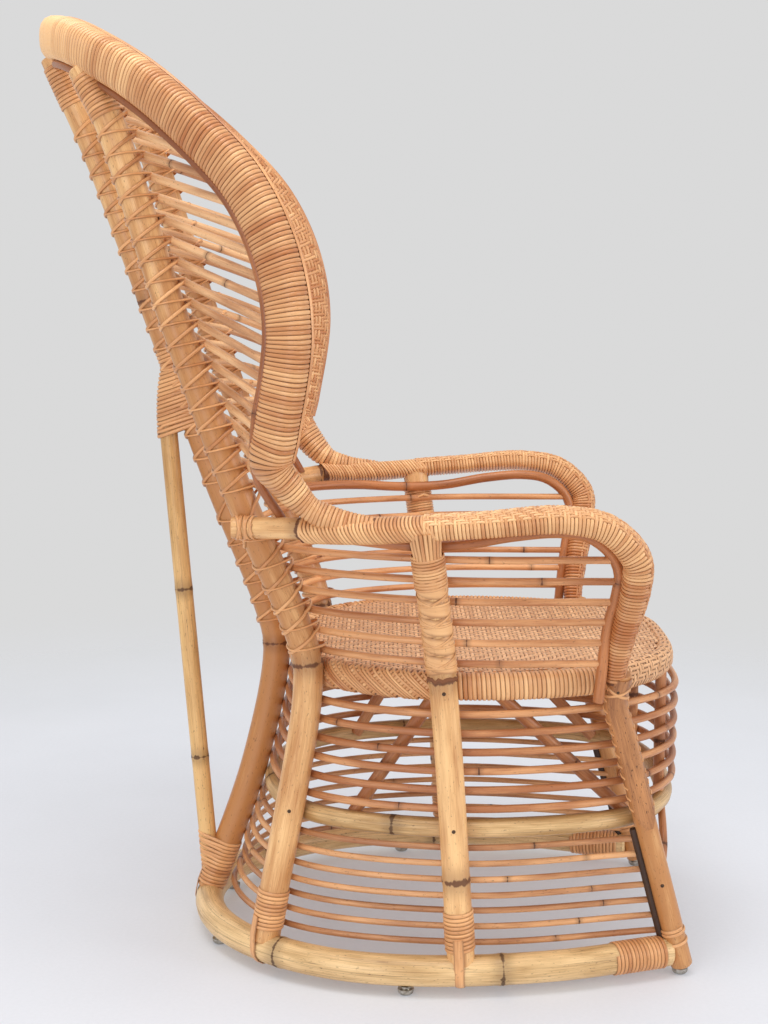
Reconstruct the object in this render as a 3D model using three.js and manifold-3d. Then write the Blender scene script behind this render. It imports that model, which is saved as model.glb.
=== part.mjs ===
import * as THREE from 'three';
import { mergeVertices } from 'three/addons/utils/BufferGeometryUtils.js';
import Module from 'manifold-3d';

// Peacock chair of bent rattan poles and cane. Millimetres, +Z up, and the sitter faces -Y.
// A place is given by its side (distance to the sitter's left of the middle plane), its forward
// distance from the middle of the footprint, and its height above the floor. The right half is
// modelled, at negative side values, and mirrored to make the left half.

// Fits between neighbours
const FIT = 0.3; // gap between two touching pieces
const LET_IN = 0.8; // depth that a cane is let into the pole it is nailed to

// Metal glides under the frame
const GLIDE_HEIGHT = 12;
const GLIDE_RADIUS = 11;
const GLIDE_FLAT_RADIUS = 7;
const GLIDE_SHOULDER_HEIGHT = 5;
const GLIDE_DISH = 5; // height of its hollow under the round base hoop
const SIDE_GLIDE_FORWARD = 64;
const REAR_GLIDE_SIDE = 110;

// Base hoop, a horseshoe open at the front
const BASE_HOOP_RADIUS = 21;
const BASE_HALF_WIDTH = 287;
const BASE_WIDEST_FORWARD = 94;
const BASE_REAR_DEPTH = 323;
const BASE_END_CUT = 10; // the hoop stops this far before the axis of the front leg
const BASE_REAR_POINTS = 9;

// Front legs
const FRONT_LEG_RADIUS = 18.5;
const FRONT_FOOT = { side: 215, forward: 451, height: 0 };
const FRONT_LEG_TOP = { side: 245, forward: 343, height: 395 };

// Side posts
const SIDE_POST_RADIUS = 19;
const SIDE_POST_FOOT_FORWARD = 139;
const SIDE_POST_AT_SEAT = { side: 292, forward: 113, height: 422 };
const SIDE_POST_TOP_FORWARD = 86;

// Stiles of the back, each from the base hoop to the rim
const SIDE_STILE_RADIUS = 20.5;
const SIDE_STILE_FOOT_SIDE = 205;
const SIDE_STILE_TOP_SIDE = 175;
const SIDE_STILE_BENDS = [
  { side: 200, forward: -70, height: 403 },
  { side: 201, forward: -74, height: 459 },
  { side: 204, forward: -158, height: 665 },
  { side: 200, forward: -240, height: 893 },
  { side: 182, forward: -330, height: 1172 },
];
const CENTRE_STILE_RADIUS = 20;
const CENTRE_STILE_BENDS = [
  { side: 0, forward: -157, height: 249 },
  { side: 0, forward: -125, height: 419 },
  { side: 0, forward: -138, height: 480 },
  { side: 0, forward: -208, height: 662 },
  { side: 0, forward: -277, height: 859 },
  { side: 0, forward: -373, height: 1131 },
];

// Back prop, scarfed against the centre stile at both ends
const PROP_RADIUS = 13;
const PROP_FOOT = { side: 0, forward: -227, height: 66 };
const PROP_TOP = { side: 0, forward: -287, height: 830 };

// Mid hoop and the canes of the skirt
const SKIRT_CENTRE_FORWARD = 180;
const STANCHION_SIDE = 130;
const MID_HOOP_RADIUS = 13.5;
const MID_HOOP_HEIGHT = 224;
const MID_HOOP_FRONT = 446;
const MID_HOOP_FRONT_SHOULDER = 427;
const UPPER_CANE_RADIUS = 5.3;
const UPPER_CANE_COUNT = 6;
const UPPER_CANE_ABOVE_MID = 29; // lowest cane over the axis of the mid hoop
const UPPER_CANE_BELOW_SEAT = 18; // highest cane under the seat hoop
const UPPER_CANE_FRONT = 458;
const UPPER_CANE_FRONT_SHOULDER = 439;
const LOWER_CANE_RADIUS = 4.3;
const LOWER_CANE_COUNT = 7;
const LOWER_CANE_ABOVE_BASE = 29.7; // lowest cane over the axis of the base hoop
const LOWER_CANE_BELOW_MID = 25; // highest cane under the axis of the mid hoop
const LOWER_CANE_END_INSET = 8; // inward of the front leg's axis

// Seat and the short poles that carry its front
const SEAT_HEIGHT = 442;
const SEAT_HOOP_TALL = 39;
const SEAT_HOOP_WIDE = 26;
const SEAT_FRONT = 440;
const SEAT_FRONT_SHOULDER = 422;
const SEAT_PANEL_THICKNESS = 10;
const SEAT_PANEL_SINK = 3; // below the top of the seat hoop
const STANCHION_RADIUS = 8;
const STRUT_RADIUS = 9;
const STRUT_SET_IN = 12; // inward of the axis of the hoops
const FRONT_STRUT = { top: 174, foot: 380 };
const REAR_STRUT = { top: 110, foot: -20 };
const BRACE_RADIUS = 5.5;
const BRACE_FOOT_HEIGHT = 130;
const BRACE_KNEE = { side: 196, forward: 424, height: 176 };
const BRACE_TOP_SIDE = 120;

// Arms
const ARM_WIDE = 44;
const ARM_TALL = 38;
const ARM_REAR_HEIGHT = 633;
const ARM_STUB_LENGTH = 24; // behind the axis of the side stile
const ARM_STUB_RADIUS = 14.5; // of the bare pole
const ARM_WRAP_START = -86; // forward place where the bare pole ends and the wrapping starts
const ARM_TURN = 0.6; // share of the arm's curve where it turns down
const ARM_BENDS = [
  { side: 286, forward: -70, height: 639 },
  { side: 313, forward: 34, height: 640 },
  { side: 326, forward: 154, height: 647 },
  { side: 326, forward: 264, height: 654 },
  { side: 325, forward: 323, height: 643 },
  { side: 318, forward: 362, height: 604 },
  { side: 306, forward: 364, height: 566 },
  { side: 276, forward: 353, height: 490 },
];
const ARM_PANEL_CENTRE = { side: 284, forward: 120, height: 520 };
const ARM_CANE_RADIUS = 7.5;
const ARM_CANE_DROP = 26; // from the axis of the arm towards the middle of the arm panel
const ARM_CANE_START = 0.1; // share of the arm's curve
const ARM_CANE_POINTS = 12;
const ARM_CANE_TURN = 0.5; // share of its own curve where it turns down
const ARM_CANE_LEAVES = 505; // height below which it runs straight to its foot
const ARM_CANE_FOOT = { side: 276, forward: 319 };
const ARM_CANE_BELOW_SEAT = 38; // its foot under the top of the seat
const BACK_CANE_RADIUS = 5;
const BACK_CANE_COUNT = 6;
const BACK_CANE_ABOVE_SEAT = 15;
const BACK_CANE_BELOW_ARM = 33;

// Rim of the back and the canes inside it
const RIM_DEPTH = 58;
const RIM_THICKNESS = 44;
const RIM_TOP = { side: 0, forward: -426, height: 1291 };
const RIM_FOOT = { side: 288, forward: -81 };
const RIM_FOOT_ABOVE_ARM = 14; // over the first bend of the arm
const RIM_BENDS = [
  { side: 304, forward: -102, height: 696 },
  { side: 312, forward: -110, height: 727 },
  { side: 321, forward: -103, height: 767 },
  { side: 330, forward: -85, height: 892 },
  { side: 322, forward: -100, height: 990 },
  { side: 310, forward: -141, height: 1078 },
  { side: 283, forward: -208, height: 1152 },
  { side: 240, forward: -280, height: 1213 },
  { side: 175, forward: -360, height: 1262 },
  { side: 90, forward: -408, height: 1285 },
];
const BACK_CENTRE = { sideShare: 0.3, forward: -430, height: 900 };
const RIM_CANE_RADIUS = 6;
const RIM_CANE_TAIL = 10; // past the foot of the rim, onto the arm
const RIM_CANE_POINTS = 16; // from its foot to its crown
const RIM_CANE_CROWN = { from: 0.25, to: 0.75 }; // shares between which the stiles meet it
const RIB_RADIUS = 5.5;
const RIB_COUNT = 19;
const RIB_ABOVE_ARM = 43; // lowest rib
const RIB_HIGHEST = 1172;
const RIB_CLEARANCE = 1.4; // to the stiles, where it is lashed
const RIB_END_REACH = 0.45; // share of the rim's cane within which a rib ends
const RIB_FALL = 0.17; // drop of the highest rib from the stile to the rim, for each unit forward
const RIB_FALL_GAIN = 0.33; // steeper by this, from the highest rib to the lowest
const RIB_FALL_CHANGE = -0.85; // what the last few ribs above the arm lose of it
const RIB_FALL_POWER = 5;

// Cane bindings, each one strip wound round a pole
const STRIP_WIDTH = 6;
const STRIP_THICKNESS = 1.6;
const STRIP_GAP = 0.9;
const POST_BINDING = { from: 66, turns: 7 };
const PROP_FOOT_BINDING = { from: 74, turns: 6 };
const PROP_TOP_BINDING = { from: 750, turns: 10 };
const PROP_BINDING_EASE = 2.5; // slack of the strip behind the prop, which leans off the stile
const HOOP_BINDING = { from: 26, turns: 8 };
const STRIP_STEPS = 8; // in one turn

// Facets
const POLE_SIDES = 10;
const CANE_SIDES = 5;
const THIN_POLE_SIDES = 8;
const HOOP_STEPS = 26;
const CANE_STEPS = 22;
const RIM_STEPS = 32;
const ARM_STEPS = 20;
const RIB_STEPS = 8;
const BRACE_STEPS = 6;
const POLE_STEP = 100; // length of one facet along a pole
const OVAL_SQUARENESS = 0.7; // 1 gives an ellipse, 0 a rectangle

const RIGHT = -1;
const CUT_OVERSHOOT = 60; // how far a trimming block reaches past what it cuts
const BISECTIONS = 40;
const MERGE_DISTANCE = 1e-4;

// Shares of the curves of hoops and stiles
const HOOP_RIGHT_END = 0.5; // a hoop starts at its middle front and its right half ends here
const HOOP_FRONT_END = 0.2;
const STILE_ABOVE_SEAT = 0.3;

const wasm = await Module();
wasm.setup();

const rattan = {
  pole: new THREE.MeshStandardMaterial({ color: '#c79a5b', roughness: 0.42, metalness: 0 }),
  pale: new THREE.MeshStandardMaterial({ color: '#d6bd84', roughness: 0.45, metalness: 0 }),
  cane: new THREE.MeshStandardMaterial({ color: '#b67a45', roughness: 0.5, metalness: 0 }),
  wrap: new THREE.MeshStandardMaterial({ color: '#c8935a', roughness: 0.55, metalness: 0 }),
  weave: new THREE.MeshStandardMaterial({ color: '#bd8f66', roughness: 0.6, metalness: 0 }),
};
const nickel = new THREE.MeshStandardMaterial({ color: '#b9b7b2', roughness: 0.3, metalness: 1 });

// Points and curves
const at = (side, forward, height) => new THREE.Vector3(side, -forward, height);
const onRight = ({ side, forward, height }) => at(RIGHT * side, forward, height);
const mirrored = (point) => new THREE.Vector3(-point.x, point.y, point.z);
const smooth = (points, closed = false) => new THREE.CatmullRomCurve3(points, closed, 'centripetal');
const towards = (from, to) => to.clone().sub(from).normalize();
const levels = (low, high, count) =>
  Array.from({ length: count }, (_, i) => low + ((high - low) * i) / (count - 1));

// Bisect for the curve parameter where measure(point) changes sign between start and end.
function whereOn(curve, measure, start = 0, end = 1) {
  let low = start;
  let high = end;
  const sign = Math.sign(measure(curve.getPoint(low)));
  for (let i = 0; i < BISECTIONS; i += 1) {
    const middle = (low + high) / 2;
    if (Math.sign(measure(curve.getPoint(middle))) === sign) {
      low = middle;
    } else {
      high = middle;
    }
  }
  return (low + high) / 2;
}

const atHeight = (curve, height, start = 0, end = 1) =>
  curve.getPoint(whereOn(curve, (point) => point.z - height, start, end));

// Solids
function solidOf(geometry) {
  const bare = new THREE.BufferGeometry();
  bare.setAttribute('position', geometry.getAttribute('position'));
  bare.setIndex(geometry.index);
  const merged = mergeVertices(bare, MERGE_DISTANCE);
  const vertProperties = new Float32Array(merged.getAttribute('position').array);
  const triVerts = new Uint32Array(merged.index.array);
  return new wasm.Manifold(new wasm.Mesh({ numProp: 3, vertProperties, triVerts }));
}

function geometryOf(solid) {
  const { vertProperties, triVerts } = solid.getMesh();
  const geometry = new THREE.BufferGeometry();
  geometry.setAttribute('position', new THREE.BufferAttribute(vertProperties, 3));
  geometry.setIndex(new THREE.BufferAttribute(triVerts, 1));
  geometry.computeVertexNormals();
  return geometry;
}

const cut = (solid, tools) => tools.reduce((left, tool) => left.subtract(tool), solid);
const joined = (solids) => solids.reduce((whole, solid) => whole.add(solid));

function roundSection(radius, sides) {
  const step = (2 * Math.PI) / sides;
  return Array.from({ length: sides }, (_, i) => {
    const angle = i * step;
    return new THREE.Vector2(radius * Math.cos(angle), radius * Math.sin(angle));
  });
}

// A flattened oval, squarer than an ellipse.
function ovalSection(wide, tall, sides) {
  const power = (value) => Math.sign(value) * Math.abs(value) ** OVAL_SQUARENESS;
  return roundSection(1, sides).map(
    ({ x, y }) => new THREE.Vector2((power(x) * wide) / 2, (power(y) * tall) / 2),
  );
}

// A round pole or cane with flat ends.
function tube(curve, radius, sides, steps) {
  const shape = new THREE.Shape(roundSection(radius, sides));
  return solidOf(new THREE.ExtrudeGeometry(shape, { steps, extrudePath: curve, bevelEnabled: false }));
}

// Skin a row of equal rings of points, closed end to end or capped with fans.
function skin(rings, closed) {
  const sides = rings[0].length;
  const indices = [];
  const last = closed ? rings.length : rings.length - 1;
  for (let i = 0; i < last; i += 1) {
    const here = i * sides;
    const next = ((i + 1) % rings.length) * sides;
    for (let j = 0; j < sides; j += 1) {
      const k = (j + 1) % sides;
      indices.push(here + j, here + k, next + k, here + j, next + k, next + j);
    }
  }
  if (!closed) {
    const end = (rings.length - 1) * sides;
    for (let j = 1; j < sides - 1; j += 1) {
      indices.push(0, j + 1, j, end, end + j, end + j + 1);
    }
  }
  const geometry = new THREE.BufferGeometry().setFromPoints(rings.flat());
  geometry.setIndex(indices);
  return solidOf(geometry);
}

// Direction square to a curve, as near as it can be to the point that aim gives
function acrossAt(curve, share, aim) {
  const centre = curve.getPointAt(share);
  const along = curve.getTangentAt(share);
  const across = towards(centre, aim(centre));
  return across.addScaledVector(along, -across.dot(along)).normalize();
}

// Sweep a section along a curve, with its x axis held towards the point that aim gives. sectionAt
// gives the section for a centre point.
function sweep(curve, sectionAt, steps, closed, aim) {
  const count = closed ? steps : steps + 1;
  const rings = Array.from({ length: count }, (_, i) => {
    const share = i / steps;
    const centre = curve.getPointAt(share);
    const along = curve.getTangentAt(share);
    const across = acrossAt(curve, share, aim);
    const third = along.clone().cross(across);
    return sectionAt(centre).map(({ x, y }) =>
      centre.clone().addScaledVector(across, x).addScaledVector(third, y),
    );
  });
  return skin(rings, closed);
}

const stepsFor = (curve) => Math.max(2, Math.round(curve.getLength() / POLE_STEP));

// A pole, with the slightly larger tool that its neighbours are cut by.
function pole(curve, radius, steps = stepsFor(curve)) {
  const solid = tube(curve, radius, POLE_SIDES, steps);
  const tool = tube(curve, radius + FIT, POLE_SIDES, steps);
  return { curve, radius, solid, tool };
}

// A ring of round cane lying level in space.
function ring(points, radius, sides, steps) {
  const curve = smooth(points, true);
  const below = (centre) => centre.clone().setZ(centre.z - 1);
  const make = (size) => sweep(curve, () => roundSection(size, sides), steps, true, below);
  return { curve, radius, solid: make(radius), tool: make(radius + FIT) };
}

// The base hoop and what stands on it
const baseHeight = GLIDE_HEIGHT + FIT + BASE_HOOP_RADIUS;
const saddleHeight = baseHeight + BASE_HOOP_RADIUS / 2; // where poles are coped over the hoop

function baseSideAt(forward) {
  if (forward > BASE_WIDEST_FORWARD) {
    const share = (forward - BASE_WIDEST_FORWARD) / (FRONT_FOOT.forward - BASE_WIDEST_FORWARD);
    return BASE_HALF_WIDTH - (BASE_HALF_WIDTH - FRONT_FOOT.side) * share ** 2;
  }
  const share = (BASE_WIDEST_FORWARD - forward) / BASE_REAR_DEPTH;
  return BASE_HALF_WIDTH * Math.sqrt(1 - share ** 2);
}

const baseForwardAt = (side) =>
  BASE_WIDEST_FORWARD - BASE_REAR_DEPTH * Math.sqrt(1 - (side / BASE_HALF_WIDTH) ** 2);

// The tool of the front leg also keeps the gap above its top end.
function makeFrontLeg() {
  const foot = onRight(FRONT_FOOT);
  const top = onRight(FRONT_LEG_TOP);
  const above = top.clone().addScaledVector(towards(foot, top), FIT);
  const leg = pole(new THREE.LineCurve3(foot, top), FRONT_LEG_RADIUS, 1);
  leg.tool = pole(new THREE.LineCurve3(foot, above), FRONT_LEG_RADIUS, 1).tool;
  return leg;
}
const frontLeg = makeFrontLeg();
const legCurve = frontLeg.curve;

function makeBaseHoop() {
  const legAtHoop = atHeight(legCurve, baseHeight);
  const halfway = (BASE_WIDEST_FORWARD - legAtHoop.y) / 2;
  const right = [
    legAtHoop.clone().setY(legAtHoop.y + BASE_END_CUT),
    at(-baseSideAt(halfway), halfway, baseHeight),
  ];
  const rearAngles = levels(0, Math.PI, BASE_REAR_POINTS);
  const rear = rearAngles.map((angle) =>
    at(
      -BASE_HALF_WIDTH * Math.cos(angle),
      BASE_WIDEST_FORWARD - BASE_REAR_DEPTH * Math.sin(angle),
      baseHeight,
    ),
  );
  const left = right.map(mirrored).reverse();
  return pole(smooth([...right, ...rear, ...left]), BASE_HOOP_RADIUS, HOOP_STEPS);
}
const baseHoop = makeBaseHoop();

// The rim arches over the back from arm to arm
const rimFoot = { ...RIM_FOOT, height: ARM_BENDS[0].height + RIM_FOOT_ABOVE_ARM };
const rimRight = [rimFoot, ...RIM_BENDS].map(onRight);
const rimCurve = smooth([...rimRight, onRight(RIM_TOP), ...rimRight.map(mirrored).reverse()]);
const backCentre = (from) =>
  at(from.x * BACK_CENTRE.sideShare, BACK_CENTRE.forward, BACK_CENTRE.height);
const rimSolid = (grow) =>
  sweep(
    rimCurve,
    () => ovalSection(RIM_DEPTH + 2 * grow, RIM_THICKNESS + 2 * grow, POLE_SIDES),
    RIM_STEPS,
    false,
    backCentre,
  );
const rimTool = rimSolid(FIT);

// A cane lies along the inner edge of the rim
function makeRimCane() {
  const reach = RIM_DEPTH / 2 + RIM_CANE_RADIUS + FIT;
  const right = levels(0, 0.5, RIM_CANE_POINTS).map((share) => {
    const inward = acrossAt(rimCurve, share, backCentre);
    return rimCurve.getPointAt(share).addScaledVector(inward, reach);
  });
  const tail = right[0].clone().addScaledVector(towards(right[1], right[0]), RIM_CANE_TAIL);
  const left = [tail, ...right.slice(0, -1)].map(mirrored).reverse();
  return smooth([tail, ...right, ...left]);
}
const rimCane = makeRimCane();
const rimCaneTool = tube(rimCane, RIM_CANE_RADIUS + FIT, CANE_SIDES, RIM_STEPS);

// Stiles stand on the base hoop and end under the cane of the rim
function makeStile(footSide, bends, topSide, radius) {
  const foot = at(-footSide, baseForwardAt(footSide), saddleHeight);
  const upright = bends.map(onRight);
  const { from, to } = RIM_CANE_CROWN;
  const top = rimCane.getPoint(whereOn(rimCane, (point) => point.x + topSide, from, to));
  const down = towards(top, upright.at(-1));
  top.addScaledVector(down, RIM_CANE_RADIUS + FIT);
  return pole(smooth([foot, ...upright, top]), radius);
}
const sideStile = makeStile(
  SIDE_STILE_FOOT_SIDE,
  SIDE_STILE_BENDS,
  SIDE_STILE_TOP_SIDE,
  SIDE_STILE_RADIUS,
);
const centreStile = makeStile(0, CENTRE_STILE_BENDS, 0, CENTRE_STILE_RADIUS);
const prop = pole(new THREE.LineCurve3(onRight(PROP_FOOT), onRight(PROP_TOP)), PROP_RADIUS, 2);

// Arms run from outside the side stile forward and down to the front leg
function makeArm() {
  const beside = atHeight(sideStile.curve, ARM_REAR_HEIGHT);
  beside.x -= SIDE_STILE_RADIUS + ARM_STUB_RADIUS - LET_IN;
  const stub = beside.clone().setY(beside.y + ARM_STUB_LENGTH);
  const curve = smooth([stub, beside, ...ARM_BENDS.map(onRight), onRight(FRONT_LEG_TOP)]);
  const panel = onRight(ARM_PANEL_CENTRE);
  const make = (grow) => {
    const bare = roundSection(ARM_STUB_RADIUS + grow, POLE_SIDES);
    const wrapped = ovalSection(ARM_TALL + 2 * grow, ARM_WIDE + 2 * grow, POLE_SIDES);
    const sectionAt = (centre) => (-centre.y < ARM_WRAP_START ? bare : wrapped);
    return sweep(curve, sectionAt, ARM_STEPS, false, () => panel);
  };
  return { curve, radius: ARM_TALL / 2, solid: make(0), tool: make(FIT) };
}
const arm = makeArm();

function makeSidePost() {
  const foot = at(-baseSideAt(SIDE_POST_FOOT_FORWARD), SIDE_POST_FOOT_FORWARD, saddleHeight);
  const share = whereOn(arm.curve, (point) => point.y + SIDE_POST_TOP_FORWARD, 0, ARM_TURN);
  const top = arm.curve.getPoint(share);
  return pole(smooth([foot, onRight(SIDE_POST_AT_SEAT), top]), SIDE_POST_RADIUS);
}
const sidePost = makeSidePost();

// Mirrored tools for pieces that cross the middle plane
const bothSides = (solid) => [solid, solid.mirror([1, 0, 0])];
const postTools = [
  ...bothSides(sidePost.tool),
  ...bothSides(sideStile.tool),
  ...bothSides(frontLeg.tool),
  ...bothSides(arm.tool),
  centreStile.tool,
];

// A point beside a leaning post, level with its axis, on the side that faces the middle of the skirt
function inside({ curve, radius }, height, offset, start = 0, end = 1) {
  const share = whereOn(curve, (point) => point.z - height, start, end);
  const axis = curve.getPoint(share);
  const inward = towards(axis, at(0, SKIRT_CENTRE_FORWARD, axis.z));
  const lean = inward.dot(curve.getTangent(share));
  return axis.addScaledVector(inward, (radius + offset) / Math.sqrt(1 - lean ** 2));
}

// Highest point of a binding that starts at the given height
const stripPitch = STRIP_WIDTH + STRIP_GAP;
const bindingTop = ({ from, turns }) => from + (turns + 1) * stripPitch;
const stripRise = (radius) => (radius + FIT) / Math.cos(Math.PI / STRIP_STEPS) - radius + STRIP_THICKNESS;

// Contact points of a level hoop with the posts of the right half, from front to back
function rightContacts(height, reach) {
  const front = height < FRONT_LEG_TOP.height ? frontLeg : arm;
  return [
    inside(front, height, reach, front === arm ? ARM_TURN : 0),
    inside(sidePost, height, reach),
    inside(sideStile, height, reach),
  ];
}

// Control points of a closed hoop inside the posts
function hoopPoints(height, front, shoulder, reach) {
  const right = [at(-STANCHION_SIDE, shoulder, height), ...rightContacts(height, reach)];
  const rear = inside(centreStile, height, reach);
  return [at(0, front, height), ...right, rear, ...right.map(mirrored).reverse()];
}

const midHoop = ring(
  hoopPoints(MID_HOOP_HEIGHT, MID_HOOP_FRONT, MID_HOOP_FRONT_SHOULDER, MID_HOOP_RADIUS - LET_IN),
  MID_HOOP_RADIUS,
  THIN_POLE_SIDES,
  HOOP_STEPS,
);

// Seat hoop and the woven panel inside it
const seatMiddle = SEAT_HEIGHT - SEAT_HOOP_TALL / 2;
const seatCurve = smooth(
  hoopPoints(seatMiddle, SEAT_FRONT, SEAT_FRONT_SHOULDER, SEAT_HOOP_WIDE / 2 - LET_IN),
  true,
);
const seatHoopSolid = (grow) =>
  sweep(
    seatCurve,
    () => ovalSection(SEAT_HOOP_TALL + 2 * grow, SEAT_HOOP_WIDE + 2 * grow, POLE_SIDES),
    HOOP_STEPS,
    true,
    (centre) => centre.clone().setZ(centre.z - 1),
  );
const seatTool = seatHoopSolid(FIT);

function makeSeatPanel() {
  const inset = SEAT_HOOP_WIDE / 2 + FIT;
  const up = new THREE.Vector3(0, 0, 1);
  const outline = Array.from({ length: HOOP_STEPS }, (_, i) => {
    const point = seatCurve.getPointAt(i / HOOP_STEPS);
    const inward = seatCurve.getTangentAt(i / HOOP_STEPS).cross(up);
    if (inward.dot(towards(point, at(0, SKIRT_CENTRE_FORWARD, seatMiddle))) < 0) {
      inward.negate();
    }
    return point.addScaledVector(inward, inset);
  });
  const shape = new THREE.Shape(outline.map(({ x, y }) => new THREE.Vector2(x, y)));
  const slab = new THREE.ExtrudeGeometry(shape, { depth: SEAT_PANEL_THICKNESS, bevelEnabled: false });
  slab.translate(0, 0, SEAT_HEIGHT - SEAT_PANEL_SINK - SEAT_PANEL_THICKNESS);
  return solidOf(slab);
}

// Stanchions stand on the mid hoop, behind the front of the upper canes
function makeStanchion() {
  const forward = UPPER_CANE_FRONT_SHOULDER - UPPER_CANE_RADIUS - STANCHION_RADIUS;
  const foot = at(-STANCHION_SIDE, forward, MID_HOOP_HEIGHT);
  const top = at(-STANCHION_SIDE, forward, seatMiddle);
  return pole(new THREE.LineCurve3(foot, top), STANCHION_RADIUS, 1);
}
const stanchion = makeStanchion();

// Skirt canes
const upperHeights = levels(
  MID_HOOP_HEIGHT + UPPER_CANE_ABOVE_MID,
  SEAT_HEIGHT - SEAT_HOOP_TALL - UPPER_CANE_BELOW_SEAT,
  UPPER_CANE_COUNT,
);
const lowerHeights = levels(
  baseHeight + LOWER_CANE_ABOVE_BASE,
  MID_HOOP_HEIGHT - LOWER_CANE_BELOW_MID,
  LOWER_CANE_COUNT,
);
const backCaneHeights = levels(
  SEAT_HEIGHT + BACK_CANE_ABOVE_SEAT,
  ARM_REAR_HEIGHT - BACK_CANE_BELOW_ARM,
  BACK_CANE_COUNT,
);

function upperCane(height) {
  const reach = UPPER_CANE_RADIUS - LET_IN;
  const points = hoopPoints(height, UPPER_CANE_FRONT, UPPER_CANE_FRONT_SHOULDER, reach);
  const cane = ring(points, UPPER_CANE_RADIUS, CANE_SIDES, CANE_STEPS);
  return cut(cane.solid, [...postTools, ...bothSides(stanchion.tool)]);
}

function lowerCane(height) {
  const besideBinding = height < bindingTop(POST_BINDING) + LOWER_CANE_RADIUS;
  const rise = besideBinding ? stripRise(SIDE_STILE_RADIUS) + FIT : -LET_IN;
  const reach = LOWER_CANE_RADIUS + rise;
  const end = atHeight(legCurve, height);
  end.x += LOWER_CANE_END_INSET;
  const [, atPost, atStile] = rightContacts(height, reach);
  const right = [end, atPost, atStile];
  const rear = inside(centreStile, height, reach);
  const curve = smooth([...right, rear, ...right.map(mirrored).reverse()]);
  return cut(tube(curve, LOWER_CANE_RADIUS, CANE_SIDES, CANE_STEPS), postTools);
}

// Short poles under the seat
function hoopPointNear(curve, forward) {
  const share = whereOn(curve, (point) => point.y + forward, 0, HOOP_RIGHT_END);
  const point = curve.getPoint(share);
  const inward = towards(point, at(0, SKIRT_CENTRE_FORWARD, point.z));
  return point.addScaledVector(inward, STRUT_SET_IN);
}

function strut({ top, foot }) {
  const curve = new THREE.LineCurve3(
    hoopPointNear(midHoop.curve, foot),
    hoopPointNear(seatCurve, top),
  );
  return cut(tube(curve, STRUT_RADIUS, THIN_POLE_SIDES, 1), [midHoop.tool, seatTool]);
}

function brace() {
  const share = whereOn(midHoop.curve, (point) => point.x + BRACE_TOP_SIDE, 0, HOOP_FRONT_END);
  const curve = smooth([
    atHeight(legCurve, BRACE_FOOT_HEIGHT),
    onRight(BRACE_KNEE),
    midHoop.curve.getPoint(share),
  ]);
  return cut(tube(curve, BRACE_RADIUS, CANE_SIDES, BRACE_STEPS), [frontLeg.tool, midHoop.tool]);
}

// Cane under the arm, past the inner face of the side post and the outer face of the seat
function makeArmCane() {
  const panel = onRight(ARM_PANEL_CENTRE);
  const inset = SIDE_POST_RADIUS + ARM_CANE_RADIUS - LET_IN;
  const end = whereOn(arm.curve, (point) => point.z - ARM_CANE_LEAVES, ARM_TURN, 1);
  const under = levels(ARM_CANE_START, end, ARM_CANE_POINTS).map((share) => {
    const point = arm.curve.getPoint(share);
    const inward = towards(point, panel).setX(0).normalize();
    point.x += inset * Math.min(1, (end - share) / (end - ARM_TURN));
    return point.addScaledVector(inward, ARM_CANE_DROP);
  });
  const foot = onRight({ ...ARM_CANE_FOOT, height: SEAT_HEIGHT - ARM_CANE_BELOW_SEAT });
  const curve = smooth([...under, foot]);
  const make = (radius) => tube(curve, radius, CANE_SIDES, CANE_STEPS);
  return { curve, solid: make(ARM_CANE_RADIUS), tool: make(ARM_CANE_RADIUS + FIT) };
}
const armCane = makeArmCane();

// Canes between the seat and the arms, from one arm cane round the back to the other
function lowerBackCane(height) {
  const reach = BACK_CANE_RADIUS - LET_IN;
  const right = [
    atHeight(armCane.curve, height, ARM_CANE_TURN, 1),
    inside(sidePost, height, reach),
    inside(sideStile, height, reach),
  ];
  const rear = inside(centreStile, height, reach);
  const curve = smooth([...right, rear, ...right.map(mirrored).reverse()]);
  const cane = tube(curve, BACK_CANE_RADIUS, CANE_SIDES, CANE_STEPS);
  return cut(cane, [...postTools, ...bothSides(armCane.tool)]);
}

// Where a rib that runs in the given direction passes the front of a stile
function besideStile({ curve, radius }, offPlane, direction, clearanceAt) {
  const share = whereOn(curve, offPlane, STILE_ABOVE_SEAT, 1);
  const point = curve.getPoint(share);
  const out = curve.getTangent(share).cross(direction).normalize();
  const reach = radius + RIB_RADIUS + clearanceAt(point.z);
  return point.addScaledVector(out, -Math.sign(out.y) * reach);
}

// Clearance of a rib at the centre stile, which the top binding of the prop makes thicker
function rearClearance(height) {
  const margin = STRIP_WIDTH + 2 * RIB_RADIUS;
  const low = PROP_TOP_BINDING.from - margin;
  const high = bindingTop(PROP_TOP_BINDING) + margin;
  return height > low && height < high ? stripRise(CENTRE_STILE_RADIUS) + FIT : RIB_CLEARANCE;
}

// Ribs run from the rim's cane round the inside of the stiles, each in a plane that falls forward
function rib(height, lowness) {
  const fall = RIB_FALL + RIB_FALL_GAIN * lowness + RIB_FALL_CHANGE * lowness ** RIB_FALL_POWER;
  const axis = atHeight(sideStile.curve, height);
  const offPlane = (point) => point.z - height - fall * (point.y - axis.y);
  const end = rimCane.getPoint(whereOn(rimCane, offPlane, 0, RIB_END_REACH));
  const rear = besideStile(centreStile, offPlane, new THREE.Vector3(1, 0, 0), rearClearance);
  const beside = besideStile(sideStile, offPlane, towards(end, rear), () => RIB_CLEARANCE);
  const curve = smooth([end, beside, rear, mirrored(beside), mirrored(end)]);
  return tube(curve, RIB_RADIUS, CANE_SIDES, RIB_STEPS);
}

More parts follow.
